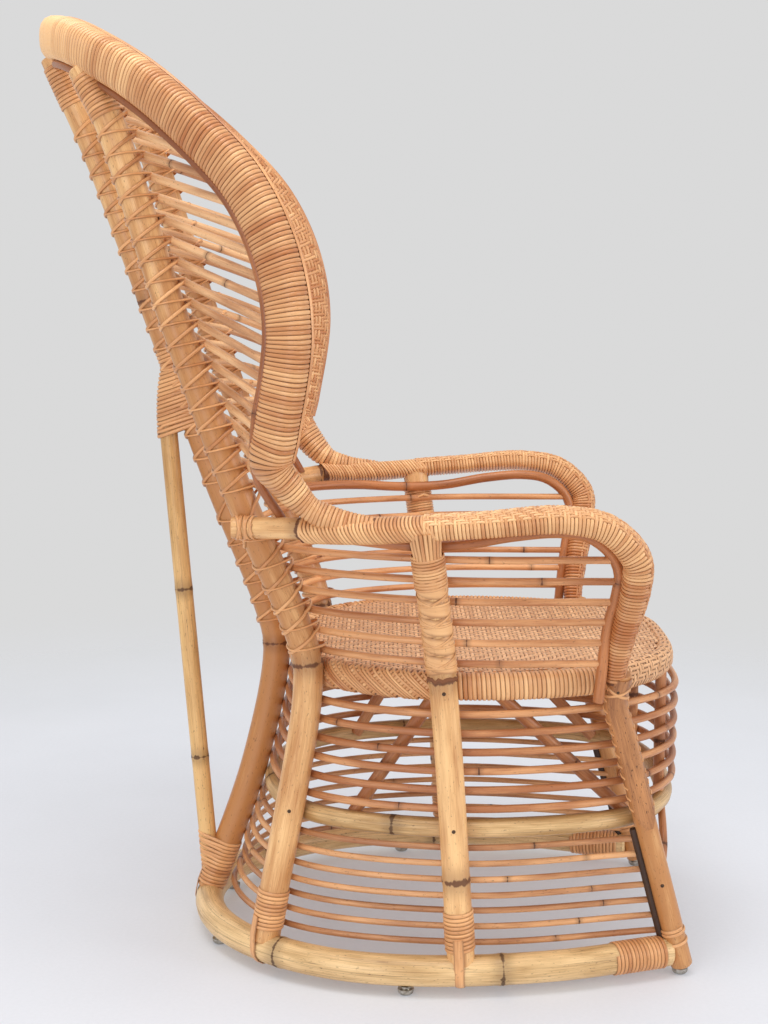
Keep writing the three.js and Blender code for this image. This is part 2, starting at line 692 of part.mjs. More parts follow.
function backLattice() {
  const lowest = ARM_REAR_HEIGHT + RIB_ABOVE_ARM;
  const ribs = levels(lowest, RIB_HIGHEST, RIB_COUNT).map((height, i) =>
    rib(height, 1 - i / (RIB_COUNT - 1)),
  );
  const whole = joined([tube(rimCane, RIM_CANE_RADIUS, CANE_SIDES, RIM_STEPS), ...ribs]);
  return cut(whole, bothSides(arm.tool));
}

// A strip wound round one pole, or round two poles that lie side by side. The first pole leads:
// centresAt gives the poles' axis points, and the direction along the first, for a share of the
// wound length. The strip lies on straight lines that touch the poles, one for each step of a turn.
const bindingGaps = [];
function binding(name, turns, centresAt) {
  const count = Math.round(turns * STRIP_STEPS);
  const halfStep = Math.PI / STRIP_STEPS;
  const rings = Array.from({ length: count + 1 }, (_, i) => {
    const { centres, along } = centresAt(i / count);
    const first = new THREE.Vector3(1, 0, 0).addScaledVector(along, -along.x).normalize();
    const second = along.clone().cross(first);
    const facing = (angle) =>
      first.clone().multiplyScalar(Math.cos(angle)).addScaledVector(second, Math.sin(angle));
    const lead = centres[0].point;
    const reach = (direction) =>
      FIT + Math.max(...centres.map(({ point, radius }) => point.clone().sub(lead).dot(direction) + radius));
    const angle = 2 * halfStep * i;
    const before = reach(facing(angle - halfStep));
    const after = reach(facing(angle + halfStep));
    const sideways = (after - before) / (2 * Math.sin(halfStep));
    const corner = (rise, shift) =>
      lead
        .clone()
        .addScaledVector(facing(angle), ((before + after) / 2 / Math.cos(halfStep)) + rise)
        .addScaledVector(facing(angle + Math.PI / 2), sideways)
        .addScaledVector(along, shift);
    const half = STRIP_WIDTH / 2;
    return [
      corner(0, half),
      corner(STRIP_THICKNESS, half),
      corner(STRIP_THICKNESS, -half),
      corner(0, -half),
    ];
  });
  bindingGaps.push([name, leastGap(rings)]);
  return skin(rings, false);
}

// Least distance between edges of a strip that lie one turn apart
function leastGap(rings) {
  const neighbours = 2;
  let least = Infinity;
  for (let i = 0; i + STRIP_STEPS < rings.length; i += 1) {
    const upperEdge = [rings[i][0], rings[i][1]];
    const last = Math.min(i + STRIP_STEPS + neighbours, rings.length - 1);
    for (let j = i + STRIP_STEPS - neighbours; j <= last; j += 1) {
      const lowerEdge = [rings[j][2], rings[j][3]];
      upperEdge.forEach((a) => lowerEdge.forEach((b) => {
        least = Math.min(least, a.distanceTo(b));
      }));
    }
  }
  return least;
}

// A binding that climbs one or two upright poles from a given height
function postBinding(name, poles, { from, turns }) {
  const lead = poles[0].curve;
  return binding(name, turns, (share) => {
    const height = from + share * turns * stripPitch;
    const axis = atHeight(lead, height);
    const along = towards(atHeight(lead, height - 1), atHeight(lead, height + 1));
    const offPlane = (point) => point.sub(axis).dot(along);
    const centres = poles.map(({ curve, radius }) => ({
      point: curve.getPoint(whereOn(curve, offPlane)),
      radius,
    }));
    return { centres, along };
  });
}

// A binding round the right end of the base hoop, measured from the end of its pole
function hoopBinding(name, { from, turns }) {
  const { curve, radius } = baseHoop;
  const total = curve.getLength();
  return binding(name, turns, (share) => {
    const place = (from + share * turns * stripPitch) / total;
    return { centres: [{ point: curve.getPointAt(place), radius }], along: curve.getTangentAt(place) };
  });
}

// Glides
function glideProfile(top) {
  return [
    new THREE.Vector2(0, 0),
    new THREE.Vector2(GLIDE_FLAT_RADIUS, 0),
    new THREE.Vector2(GLIDE_RADIUS, GLIDE_SHOULDER_HEIGHT),
    new THREE.Vector2(GLIDE_RADIUS, top),
    new THREE.Vector2(0, top),
  ];
}

function glide(side, forward, top = GLIDE_HEIGHT) {
  const lathe = new THREE.LatheGeometry(glideProfile(top), POLE_SIDES);
  lathe.rotateX(Math.PI / 2);
  lathe.translate(-side, -forward, 0);
  return solidOf(lathe);
}

// A glide under the base hoop is dished to the pole.
function hoopGlide(side, forward) {
  return cut(glide(side, forward, GLIDE_HEIGHT + GLIDE_DISH), [baseHoop.tool]);
}

// The front leg is sawn level where it stands on its glide.
function levelledLeg() {
  const size = 2 * CUT_OVERSHOOT;
  const block = new THREE.BoxGeometry(size, size, size);
  block.translate(-FRONT_FOOT.side, -FRONT_FOOT.forward, GLIDE_HEIGHT + FIT - CUT_OVERSHOOT);
  return cut(frontLeg.solid, [solidOf(block)]);
}

// Assembly
const parts = new THREE.Group();

function add(name, solid, material) {
  const mesh = new THREE.Mesh(geometryOf(solid), material);
  mesh.name = name;
  parts.add(mesh);
  return mesh;
}

function addPair(name, solid, material) {
  add(`right_${name}`, solid, material);
  add(`left_${name}`, solid, material).scale.setX(-1);
}

add('base_hoop', cut(baseHoop.solid, bothSides(frontLeg.tool)), rattan.pale);
addPair('front_leg', levelledLeg(), rattan.pole);
addPair('side_post', cut(sidePost.solid, [baseHoop.tool, arm.tool]), rattan.pole);
addPair('side_stile', cut(sideStile.solid, [baseHoop.tool, rimTool, rimCaneTool]), rattan.pole);
add('centre_stile', cut(centreStile.solid, [baseHoop.tool, rimTool, rimCaneTool]), rattan.pole);
add('back_prop', cut(prop.solid, [centreStile.tool]), rattan.pale);
add('mid_hoop', cut(midHoop.solid, postTools), rattan.pale);
upperHeights.forEach((height, i) => add(`upper_skirt_cane_${i + 1}`, upperCane(height), rattan.cane));
lowerHeights.forEach((height, i) => add(`lower_skirt_cane_${i + 1}`, lowerCane(height), rattan.cane));

add('seat_hoop', cut(seatHoopSolid(0), postTools), rattan.wrap);
add('seat_panel', makeSeatPanel(), rattan.weave);
addPair('front_strut', strut(FRONT_STRUT), rattan.pole);
addPair('rear_strut', strut(REAR_STRUT), rattan.pole);
addPair('stanchion', cut(stanchion.solid, [midHoop.tool, seatTool]), rattan.pole);
addPair('front_brace', brace(), rattan.cane);

addPair('arm', cut(arm.solid, [frontLeg.tool, sideStile.tool]), rattan.wrap);
addPair(
  'arm_cane',
  cut(armCane.solid, [arm.tool, sidePost.tool, sideStile.tool, frontLeg.tool, seatTool]),
  rattan.cane,
);
backCaneHeights.forEach((height, i) => add(`lower_back_cane_${i + 1}`, lowerBackCane(height), rattan.cane));
add('back_rim', cut(rimSolid(0), bothSides(arm.tool)), rattan.wrap);
add('back_lattice', backLattice(), rattan.cane);

addPair('side_post_binding', postBinding('side post', [sidePost], POST_BINDING), rattan.wrap);
addPair('side_stile_binding', postBinding('side stile', [sideStile], POST_BINDING), rattan.wrap);
const stileAndProp = [centreStile, { curve: prop.curve, radius: PROP_RADIUS + PROP_BINDING_EASE }];
add('prop_foot_binding', postBinding('prop foot', stileAndProp, PROP_FOOT_BINDING), rattan.wrap);
add('prop_top_binding', postBinding('prop top', stileAndProp, PROP_TOP_BINDING), rattan.wrap);
addPair('base_hoop_binding', hoopBinding('base hoop', HOOP_BINDING), rattan.wrap);

const legOnGlide = atHeight(legCurve, GLIDE_HEIGHT);
addPair('front_glide', glide(-legOnGlide.x, -legOnGlide.y), nickel);
addPair('side_glide', hoopGlide(baseSideAt(SIDE_GLIDE_FORWARD), SIDE_GLIDE_FORWARD), nickel);
addPair('rear_glide', hoopGlide(REAR_GLIDE_SIDE, baseForwardAt(REAR_GLIDE_SIDE)), nickel);

bindingGaps.forEach(([name, gap]) => console.log(`${name} binding, least gap ${gap.toFixed(2)} mm`));

// The middle of the footprint is the origin.
const middle = new THREE.Box3().setFromObject(parts).getCenter(new THREE.Vector3());
parts.position.y = -middle.y;

const chair = new THREE.Group();
chair.add(parts);

export default chair;
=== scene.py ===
# %% [markdown]
# # A peacock chair of bent rattan
# The real chair is a frame of thick rattan poles, steamed and bent, with thin canes nailed across it and
# split cane wound and woven over the rim, the arms and the seat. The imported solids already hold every
# place and size, so they come in first and stay as they are. Each bare solid is then replaced by a piece
# with the knots, the windings or the weave of the real one.

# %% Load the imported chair
import math

import bpy
import numpy as np
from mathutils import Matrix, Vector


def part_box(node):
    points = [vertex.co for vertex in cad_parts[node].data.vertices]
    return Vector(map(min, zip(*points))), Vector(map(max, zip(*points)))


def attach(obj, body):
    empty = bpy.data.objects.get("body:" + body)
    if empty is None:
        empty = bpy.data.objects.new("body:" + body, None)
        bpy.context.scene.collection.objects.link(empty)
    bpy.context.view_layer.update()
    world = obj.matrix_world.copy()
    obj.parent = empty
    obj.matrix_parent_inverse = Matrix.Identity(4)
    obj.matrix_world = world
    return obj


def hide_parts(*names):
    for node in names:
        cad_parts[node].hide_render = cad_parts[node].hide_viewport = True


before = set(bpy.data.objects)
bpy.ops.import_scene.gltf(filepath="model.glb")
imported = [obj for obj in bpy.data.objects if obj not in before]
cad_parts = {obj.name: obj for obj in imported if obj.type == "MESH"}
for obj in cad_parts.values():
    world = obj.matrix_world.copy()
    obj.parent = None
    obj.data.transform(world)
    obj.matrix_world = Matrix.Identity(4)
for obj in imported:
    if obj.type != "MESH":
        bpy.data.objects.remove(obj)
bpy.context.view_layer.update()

# %% [markdown]
# ## Camera
# The picture was taken from the sitter's right, 2.5 m from the middle of the chair and about 1 m up. The
# camera looks along +X and is tipped down, which the picture shows in the ellipses of the hoops.
# A lens of 60 mm gives the same ratio between the near and the far foot.

# %% Place the camera
CAMERA_PLACE = (-2.5, -0.02525, 0.988)
CAMERA_TIP = 8.4  # degrees downward
CAMERA_LENS = 60.47

bpy.ops.object.camera_add(
    location=CAMERA_PLACE,
    rotation=(math.radians(90 - CAMERA_TIP), 0, math.radians(-90)),
)
camera = bpy.context.object
camera.data.lens = CAMERA_LENS
bpy.context.scene.camera = camera
print("camera at", CAMERA_PLACE)

# %% [markdown]
# ## Bends
# A bent pole follows a smooth line through a few points. The solids were swept along such lines, so the
# same lines are drawn again here, from the same points in millimetres: side, forward and height. The
# centripetal form keeps the line from looping where the points are uneven.

# %% A smooth line through points
MM = 0.001
FRONT_GLIDE_FORWARD = 447.72  # of the solid's middle
LENGTH_STEPS = 60  # in each span, to measure along a bend
TANGENT_STEP = 1e-4
BISECTIONS = 40
SIDES = ("right", "left")

front_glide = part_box("right_front_glide")
shift = (front_glide[0].y + front_glide[1].y) / 2 / MM + FRONT_GLIDE_FORWARD


def at(side, forward, height):
    return np.array([side, shift - forward, height], float)


def on_right(spot):
    """A point on the sitter's right, from its distance to the middle, forward and height."""
    side, forward, height = spot
    return at(-side, forward, height)


def mirrored(points):
    return np.asarray(points) * (-1, 1, 1)


def unit(vectors):
    return vectors / np.linalg.norm(vectors, axis=-1, keepdims=True)


class Bend:
    """A smooth line through points, measured by its share from 0 to 1 or by length."""

    def __init__(self, points, closed=False):
        points = [np.asarray(point, float) for point in points]
        if closed:
            row = np.array([points[-1], *points, points[0], points[1]])
        else:
            row = np.array([2 * points[0] - points[1], *points, 2 * points[-1] - points[-2]])
        before, start, end, after = row[:-3], row[1:-2], row[2:-1], row[3:]
        root = lambda a, b: np.sum((b - a) ** 2, axis=1, keepdims=True) ** 0.25
        d0, d1, d2 = root(before, start), root(start, end), root(end, after)
        leave = ((start - before) / d0 - (end - before) / (d0 + d1) + (end - start) / d1) * d1
        arrive = ((end - start) / d1 - (after - start) / (d1 + d2) + (after - end) / d2) * d1
        square = -3 * start + 3 * end - 2 * leave - arrive
        cube = 2 * start - 2 * end + leave + arrive
        self.terms = (start, leave, square, cube)
        self.spans = len(start)
        self.closed = closed
        self.shares = np.linspace(0, 1, self.spans * LENGTH_STEPS + 1)
        gaps = np.linalg.norm(np.diff(self.at(self.shares), axis=0), axis=1)
        self.lengths = np.concatenate([[0], np.cumsum(gaps)])
        self.length = self.lengths[-1]

    def at(self, share):
        place = np.clip(np.asarray(share, float), 0, 1) * self.spans
        span = np.minimum(place.astype(int), self.spans - 1)
        step = (place - span)[..., None]
        start, leave, square, cube = (term[span] for term in self.terms)
        return start + step * (leave + step * (square + step * cube))

    def along(self, share):
        share = np.asarray(share, float)
        low = np.clip(share - TANGENT_STEP, 0, 1)
        high = np.clip(share + TANGENT_STEP, 0, 1)
        return unit(self.at(high) - self.at(low))

    def share_of(self, length):
        if self.closed:
            length = np.mod(length, self.length)
        return np.interp(length, self.lengths, self.shares)

    def length_of(self, share):
        return np.interp(share, self.shares, self.lengths)

    def mirror(self):
        twin = Bend.__new__(Bend)
        twin.__dict__.update(self.__dict__)
        twin.terms = tuple(mirrored(term) for term in self.terms)
        return twin


def on_side(side, bend):
    """A bend of the right side as it is, or its mirror image for the left."""
    return bend if side == "right" else bend.mirror()


def where_on(bend, measure, start=0.0, end=1.0):
    """The share between start and end where measure(point) changes sign."""
    sign = np.sign(measure(bend.at(start)))
    for _ in range(BISECTIONS):
        middle = (start + end) / 2
        if np.sign(measure(bend.at(middle))) == sign:
            start = middle
        else:
            end = middle
    return (start + end) / 2


def at_height(bend, height, start=0.0, end=1.0):
    return bend.at(where_on(bend, lambda point: point[2] - height, start, end))


def at_level(bend, height):
    """The length along a bend where it reaches a height."""
    return bend.length_of(where_on(bend, lambda point: point[2] - height))


print("the solids lie", round(shift, 3), "mm behind their own points")

# %% [markdown]
# ## Lines of the frame
# The base hoop lies on the floor and is open at the front. Two front legs, two side posts and three stiles
# stand on it. The rim arches over the back from arm to arm, and a thin cane lies along its inner edge.

# %% Base hoop, legs, rim, stiles, arms and posts
FIT = 0.3  # mm between pieces that lie side by side
LET_IN = 0.8  # mm that a cane is let into its pole
BASE_RADIUS, BASE_HEIGHT, BASE_HALF_WIDTH = 21, 33.3, 287
BASE_WIDEST, BASE_REAR_DEPTH, BASE_REAR_POINTS, BASE_END_CUT = 94, 323, 9, 10
SADDLE_HEIGHT = BASE_HEIGHT + BASE_RADIUS / 2
LEG_RADIUS, LEG_FOOT, LEG_TOP = 18.5, (215, 451, 0), (245, 343, 395)
POST_RADIUS, POST_FOOT_FORWARD, POST_AT_SEAT, POST_TOP_FORWARD = 19, 139, (292, 113, 422), 86
SIDE_STILE_RADIUS, SIDE_STILE_FOOT, SIDE_STILE_TOP = 20.5, 205, 175
SIDE_STILE_BENDS = [
    (200, -70, 403), (201, -74, 459), (204, -158, 665), (200, -240, 893), (182, -330, 1172),
]
CENTRE_STILE_RADIUS = 20
CENTRE_STILE_BENDS = [
    (0, -157, 249), (0, -125, 419), (0, -138, 480), (0, -208, 662), (0, -277, 859), (0, -373, 1131),
]
PROP_RADIUS, PROP_FOOT, PROP_TOP = 13, (0, -227, 66), (0, -287, 830)
RIM_DEPTH, RIM_THICKNESS = 58, 44
RIM_BENDS = [
    (288, -81, 653), (304, -102, 696), (312, -110, 727), (321, -103, 767), (330, -85, 892),
    (322, -100, 990), (310, -141, 1078), (283, -208, 1152), (240, -280, 1213), (175, -360, 1262),
    (90, -408, 1285),
]
RIM_CROWN = (0, -426, 1291)
BACK_CENTRE_SHARE, BACK_CENTRE = 0.3, (0, -430, 900)
RIM_CANE_RADIUS, RIM_CANE_TAIL, RIM_CANE_POINTS = 6, 10, 16
ARM_WIDE, ARM_TALL, ARM_REAR_HEIGHT = 44, 38, 633
ARM_STUB_LENGTH, ARM_STUB_RADIUS, ARM_WRAP_START, ARM_TURN = 24, 14.5, -86, 0.6
ARM_BENDS = [
    (286, -70, 639), (313, 34, 640), (326, 154, 647), (326, 264, 654), (325, 323, 643),
    (318, 362, 604), (306, 364, 566), (276, 353, 490),
]
ARM_PANEL_CENTRE = (284, 120, 520)


def base_side_at(forward):
    if forward > BASE_WIDEST:
        share = (forward - BASE_WIDEST) / (LEG_FOOT[1] - BASE_WIDEST)
        return BASE_HALF_WIDTH - (BASE_HALF_WIDTH - LEG_FOOT[0]) * share**2
    share = (BASE_WIDEST - forward) / BASE_REAR_DEPTH
    return BASE_HALF_WIDTH * math.sqrt(1 - share**2)


def base_forward_at(side):
    return BASE_WIDEST - BASE_REAR_DEPTH * math.sqrt(1 - (side / BASE_HALF_WIDTH) ** 2)


def base_hoop_line():
    foot = at_height(leg, BASE_HEIGHT)
    halfway = (BASE_WIDEST - (foot[1] - shift)) / 2
    front = [foot + (0, BASE_END_CUT, 0), at(-base_side_at(halfway), halfway, BASE_HEIGHT)]
    rear = [
        at(
            -BASE_HALF_WIDTH * math.cos(angle),
            BASE_WIDEST - BASE_REAR_DEPTH * math.sin(angle),
            BASE_HEIGHT,
        )
        for angle in np.linspace(0, math.pi, BASE_REAR_POINTS)
    ]
    return Bend([*front, *rear, *mirrored(front)[::-1]])


def to_back_centre(centres):
    """Where the section of the rim aims: the middle of the back, a little towards its own side."""
    aim = np.tile(on_right(BACK_CENTRE), (len(centres), 1))
    aim[:, 0] = centres[:, 0] * BACK_CENTRE_SHARE
    return aim


def frames_on(bend, lengths, aim):
    """Centres along a bend, with two directions square to it: towards the aim, and the third."""
    shares = bend.share_of(lengths)
    centre, along = bend.at(shares), bend.along(shares)
    across = aim(centre) - centre
    across = unit(across - along * np.sum(across * along, axis=1, keepdims=True))
    return centre, across, np.cross(along, across)


def rim_cane_line():
    lengths = np.linspace(0, rim.length / 2, RIM_CANE_POINTS)
    centre, across, _ = frames_on(rim, lengths, to_back_centre)
    half = centre + across * (RIM_DEPTH / 2 + RIM_CANE_RADIUS + FIT)
    tail = half[0] + unit(half[0] - half[1]) * RIM_CANE_TAIL
    half = [tail, *half]
    return Bend([*half, *mirrored(half[:-1])[::-1]])


def stile_line(foot_side, bends, top_side, beyond=0):
    """The axis of a stile up to the rim cane, or on beyond it into the rim."""
    foot = at(-foot_side, base_forward_at(foot_side), SADDLE_HEIGHT)
    upright = [on_right(bend) for bend in bends]
    top = rim_cane.at(where_on(rim_cane, lambda point: point[0] + top_side, 0.25, 0.75))
    top = top + unit(upright[-1] - top) * (RIM_CANE_RADIUS + FIT)
    tip = [top + unit(top - upright[-1]) * beyond] if beyond else []
    return Bend([foot, *upright, top, *tip])


def arm_line():
    beside = at_height(side_stile, ARM_REAR_HEIGHT)
    beside[0] -= SIDE_STILE_RADIUS + ARM_STUB_RADIUS - LET_IN
    stub = beside + (0, ARM_STUB_LENGTH, 0)
    return Bend([stub, beside, *map(on_right, ARM_BENDS), on_right(LEG_TOP)])


def post_line():
    foot = at(-base_side_at(POST_FOOT_FORWARD), POST_FOOT_FORWARD, SADDLE_HEIGHT)
    top_y = shift - POST_TOP_FORWARD
    top = arm.at(where_on(arm, lambda point: point[1] - top_y, 0, ARM_TURN))
    return Bend([foot, on_right(POST_AT_SEAT), top])


leg = Bend([on_right(LEG_FOOT), on_right(LEG_TOP)])
base_hoop = base_hoop_line()
rim_half = [on_right(bend) for bend in RIM_BENDS]
rim = Bend([*rim_half, on_right(RIM_CROWN), *mirrored(rim_half)[::-1]])
rim_cane = rim_cane_line()
side_stile = stile_line(SIDE_STILE_FOOT, SIDE_STILE_BENDS, SIDE_STILE_TOP)
centre_stile = stile_line(0, CENTRE_STILE_BENDS, 0)
prop = Bend([on_right(PROP_FOOT), on_right(PROP_TOP)])
arm = arm_line()
post = post_line()
for label, bend in (("rim", rim), ("arm", arm), ("base hoop", base_hoop)):
    print(label, round(bend.length), "mm")

# %% [markdown]
# ## Shader maths
# A finish is a small sum of noises. One class wraps a socket, so that the sum can be written as plain
# Python, and each operator adds its Math node. Any other node comes from one method that takes the node's
# type, its settings and its sockets.

# %% A socket that can be summed


class Wire:
    """A socket in a material's node tree, or the tree itself where there is no socket yet."""

    def __init__(self, tree, socket=None):
        self.tree, self.socket = tree, socket

    def node(self, kind, settings=None, sockets=None, out=0):
        made = self.tree.nodes.new(kind)
        for name, value in (settings or {}).items():
            setattr(made, name, value)
        for name, value in (sockets or {}).items():
            if isinstance(value, Wire):
                self.tree.links.new(value.socket, made.inputs[name])
            else:
                made.inputs[name].default_value = value
        return Wire(self.tree, made.outputs[out]) if len(made.outputs) else made

    def sum(self, operation, first, second):
        return self.node("ShaderNodeMath", {"operation": operation}, {0: first, 1: second})

    def __add__(self, other):
        return self.sum("ADD", self, other)

    __radd__ = __add__

    def __mul__(self, other):
        return self.sum("MULTIPLY", self, other)

    __rmul__ = __mul__

    def __sub__(self, other):
        return self.sum("SUBTRACT", self, other)

    def __rsub__(self, other):
        return self.sum("SUBTRACT", other, self)

    def size(self):
        """The number without its sign."""
        return self.sum("ABSOLUTE", self, 0.0)

    def between(self, low, high):
        """0 at low and under, 1 at high and over, smooth between."""
        settings = {"interpolation_type": "SMOOTHSTEP"}
        return self.node("ShaderNodeMapRange", settings, {0: self, 1: low, 2: high})

    def times(self, factors):
        """A vector, multiplied part by part."""
        return self.node("ShaderNodeVectorMath", {"operation": "MULTIPLY"}, {0: self, 1: factors})

    def blend(self, first, second):
        """A colour between two others, where this socket is the factor."""
        sockets = {0: self, 6: first, 7: second}
        return self.node("ShaderNodeMix", {"data_type": "RGBA"}, sockets, 2)

    def noise(self, scale=1.0, detail=2.0, roughness=0.5):
        sockets = {"Vector": self, "Scale": scale, "Detail": detail, "Roughness": roughness}
        return self.node("ShaderNodeTexNoise", {}, sockets)


def paint(red, green, blue):
    """A colour as a screen shows it, from 0 to 255, as the linear colour a shader takes."""
    linear = []
    for value in (red, green, blue):
        part = value / 255
        linear.append(part / 12.92 if part < 0.04045 else ((part + 0.055) / 1.055) ** 2.4)
    return (*linear, 1)


def bare_material(name):
    material = bpy.data.materials.new(name)
    material.use_nodes = True
    material.node_tree.nodes.clear()
    return material, Wire(material.node_tree)


def close_material(wire, shader):
    wire.node("ShaderNodeOutputMaterial", {}, {"Surface": shader})


print("shader maths ready")

# %% [markdown]
# ## Rattan finishes
# Rattan is a solid vine with long fibres, so its colour runs in fine streaks along the pole, with wide
# blotches over them, a jagged dark line at each knot and a brown stain beside it. Every piece carries its
# own straightened-out coordinates in an attribute called grain, in millimetres: x and y across the pole and
# z along it. Noise that is squeezed in z then follows each bend, with no seam. An attribute called tone
# makes one turn of cane lighter or darker than the next, and one called knot is the distance to a knot.

# %% One recipe for all rattan
# The tone attribute also carries painted light and shade: lighter at the rim's crown and along the tops of
# the arms, darker where an arm bends down to its leg and low on the centre stile and the front legs.
FIBRE_SQUEEZE = (1.1, 1.1, 0.025)
BLOTCH_SQUEEZE = (0.06, 0.06, 0.009)
FLECK_SQUEEZE = (0.45, 0.45, 0.16)
CRACK_SQUEEZE = (0.16, 0.16, 0.0016)
WANDER_SQUEEZE = (0.13, 0.13, 0.04)
KNOT_THIN, KNOT_WAVER = 0.33, 11.0
KNOT_LINE, KNOT_DARK = (-1.5, 1.1), 0.78  # mm, the edge of the uneven line, and how dark it is
KNOT_STAIN, KNOT_STAINS = (2.0, 22.0), 0.35  # mm from the knot, how brown
FLECK_EDGE = (0.6, 0.7)
CRACK_EDGE = (0.004, 0.014)
STRIP_GRAIN = 5.5  # width that every strip has in its grain
# painted shade: a strip darkens towards brown near its edges, for the shadow in the gap to the next strip
STRIP_SHADE_EDGE = (1.5, 2.75)  # half widths between which a strip's edge darkens
ROUGHER = 0.25  # roughness that fibres and marks add
RELIEF = {"Strength": 0.35, "Distance": 0.0007}
VARNISH = {"Coat Weight": 0.12, "Coat Roughness": 0.25}


def rattan(
    name, light, dark, brown,
    streak=0.5, blotch=0.6, toning=0.35, gloss=0.4, flecks=0.5, cracks=0.0, edges=0.0,
):
    """A finish between a light and a dark colour, with brown for its marks."""
    material, wire = bare_material(name)
    light, dark, brown = paint(*light), paint(*dark), paint(*brown)
    grain = wire.node("ShaderNodeAttribute", {"attribute_name": "grain"}, out="Vector")
    knot = wire.node("ShaderNodeAttribute", {"attribute_name": "knot"}, out="Fac")
    tone = wire.node("ShaderNodeAttribute", {"attribute_name": "tone"}, out="Fac")
    fibre = grain.times(FIBRE_SQUEEZE).noise(1.0, 3.0, 0.65)
    patch = grain.times(BLOTCH_SQUEEZE).noise(1.0, 2.0, 0.55)
    fleck = grain.times(FLECK_SQUEEZE).noise(1.0, 3.0, 0.6)
    shade = 0.5 + (fibre - 0.5) * (2 * streak) + (patch - 0.5) * (2 * blotch) + tone * toning
    colour = shade.between(0.0, 1.0).blend(dark, light)
    near = 1 - knot.between(*KNOT_STAIN)
    colour = (near * KNOT_STAINS * (patch + fibre)).blend(colour, brown)
    # painted shade along the edges of a strip, where it lies against the next one
    if edges:
        across = wire.node("ShaderNodeSeparateXYZ", {}, {0: grain}, "X").size()
        colour = (across.between(*STRIP_SHADE_EDGE) * edges).blend(colour, brown)
    wander = grain.times(WANDER_SQUEEZE).noise(1.0, 2.0, 0.5)
    speck = fleck.between(*FLECK_EDGE) * flecks
    line = ((wander - KNOT_THIN) * KNOT_WAVER - knot).between(*KNOT_LINE)
    marks = speck + line * KNOT_DARK
    if cracks:
        ridge = (grain.times(CRACK_SQUEEZE).noise(1.0, 2.0, 0.5) - 0.5).size()
        marks = marks + (1 - ridge.between(*CRACK_EDGE)) * cracks
    marks = marks.between(0.0, 1.0)
    colour = marks.blend(colour, brown)
    rough = gloss + (fibre - 0.5) * ROUGHER + marks * ROUGHER
    height = fibre * 0.6 + fleck * 0.4 - marks
    relief = wire.node("ShaderNodeBump", {}, {"Height": height} | RELIEF)
    sockets = {"Base Color": colour, "Roughness": rough, "Normal": relief} | VARNISH
    close_material(wire, wire.node("ShaderNodeBsdfPrincipled", {}, sockets))
    return material


print("noises in millimetres, widest blotch about", round(1 / BLOTCH_SQUEEZE[2]), "long")

# %% [markdown]
# Each finish is named for the piece it covers. The poles are golden or straw-coloured, the thin canes brown
# to red, and the split cane has painted shade along its edges, for the shadow where the next strip lies
# against it.

# %% Mix the finishes
golden_pole = rattan(
    "golden_pole", (255, 206, 144), (196, 134, 78), (96, 50, 22), streak=0.48, blotch=0.7,
)
straw_pole = rattan(
    "straw_pole", (246, 208, 152), (184, 142, 88), (84, 54, 28), streak=0.6, blotch=0.8, cracks=0.4,
)
bamboo_pole = rattan(
    "bamboo_pole", (244, 198, 132), (190, 140, 82), (90, 56, 28), streak=0.6, cracks=0.4,
)
brown_cane = rattan("brown_cane", (242, 180, 124), (178, 112, 68), (84, 44, 22), blotch=0.8)
grey_cane = rattan("grey_cane", (236, 178, 124), (170, 112, 72), (80, 46, 26), blotch=0.8)
rib_cane = rattan("rib_cane", (250, 200, 148), (186, 130, 88), (88, 50, 28), blotch=0.8)
red_cane = rattan("red_cane", (210, 136, 82), (146, 84, 46), (80, 40, 20))
wound_cane = rattan(
    "wound_cane", (255, 204, 146), (186, 112, 60), (104, 56, 28),
    streak=0.3, blotch=0.35, toning=0.2, gloss=0.36, flecks=0.3, edges=0.36,
)
woven_cane = rattan(
    "woven_cane", (248, 196, 146), (192, 136, 92), (100, 60, 36),
    streak=0.35, blotch=0.4, toning=0.2, gloss=0.45, flecks=0.4, edges=0.95,
)
strap_cane = rattan(
    "strap_cane", (252, 192, 132), (190, 124, 74), (92, 54, 28),
    streak=0.45, blotch=0.5, toning=0.22, gloss=0.36, flecks=0.4, edges=0.45,
)
leaf_sheath = rattan(
    "leaf_sheath", (248, 194, 136), (208, 146, 92), (140, 84, 44),
    streak=0.35, toning=0.15, edges=0.6,
)
bark_facing = rattan(
    "bark_facing", (206, 142, 88), (138, 84, 44), (66, 34, 16),
    streak=0.6, blotch=0.8, toning=0.25, flecks=0.9,
)
core_wood = rattan("core_wood", (128, 76, 42), (92, 52, 28), (60, 34, 20), gloss=0.7)
# painted shade: the batten behind each leg is nearly black, for the shade on the leg's rear side
batten_painted_shade = rattan("batten_painted_shade", (78, 50, 32), (48, 30, 20), (30, 18, 12), gloss=0.6)
print("finishes:", len(bpy.data.materials))

# %% [markdown]
# ## Poles
# A pole is drawn as a path with a round bevel and then turned into a mesh, which is how one would make a
# bent pipe by hand. Each point of the path has its own radius, so the pole swells a little at its knots.
# The mesh then gets the grain and knot attributes that the finishes read.

# %% Draw a bent pole
KNOT_AT = (-10, -4, -1.4, 0, 1.4, 5, 11)  # mm from the knot
KNOT_SWELL = (1.0, 1.03, 1.045, 1.02, 1.04, 1.015, 1.0)
NO_KNOT = 99.0  # mm, where a piece has no knot near
END_TAPER = 0.9
END_ROUND = 2.0  # mm
GRAIN_START = 5000  # mm, the grain of a pole starts anywhere in this
SMOOTH_ANGLE = math.radians(40)
rng = np.random.default_rng(7)


def give(mesh, name, values):
    kind, field = ("FLOAT_VECTOR", "vector") if np.ndim(values) == 2 else ("FLOAT", "value")
    layer = mesh.attributes.new(name, kind, "POINT")
    layer.data.foreach_set(field, np.ascontiguousarray(values, np.float32).ravel())


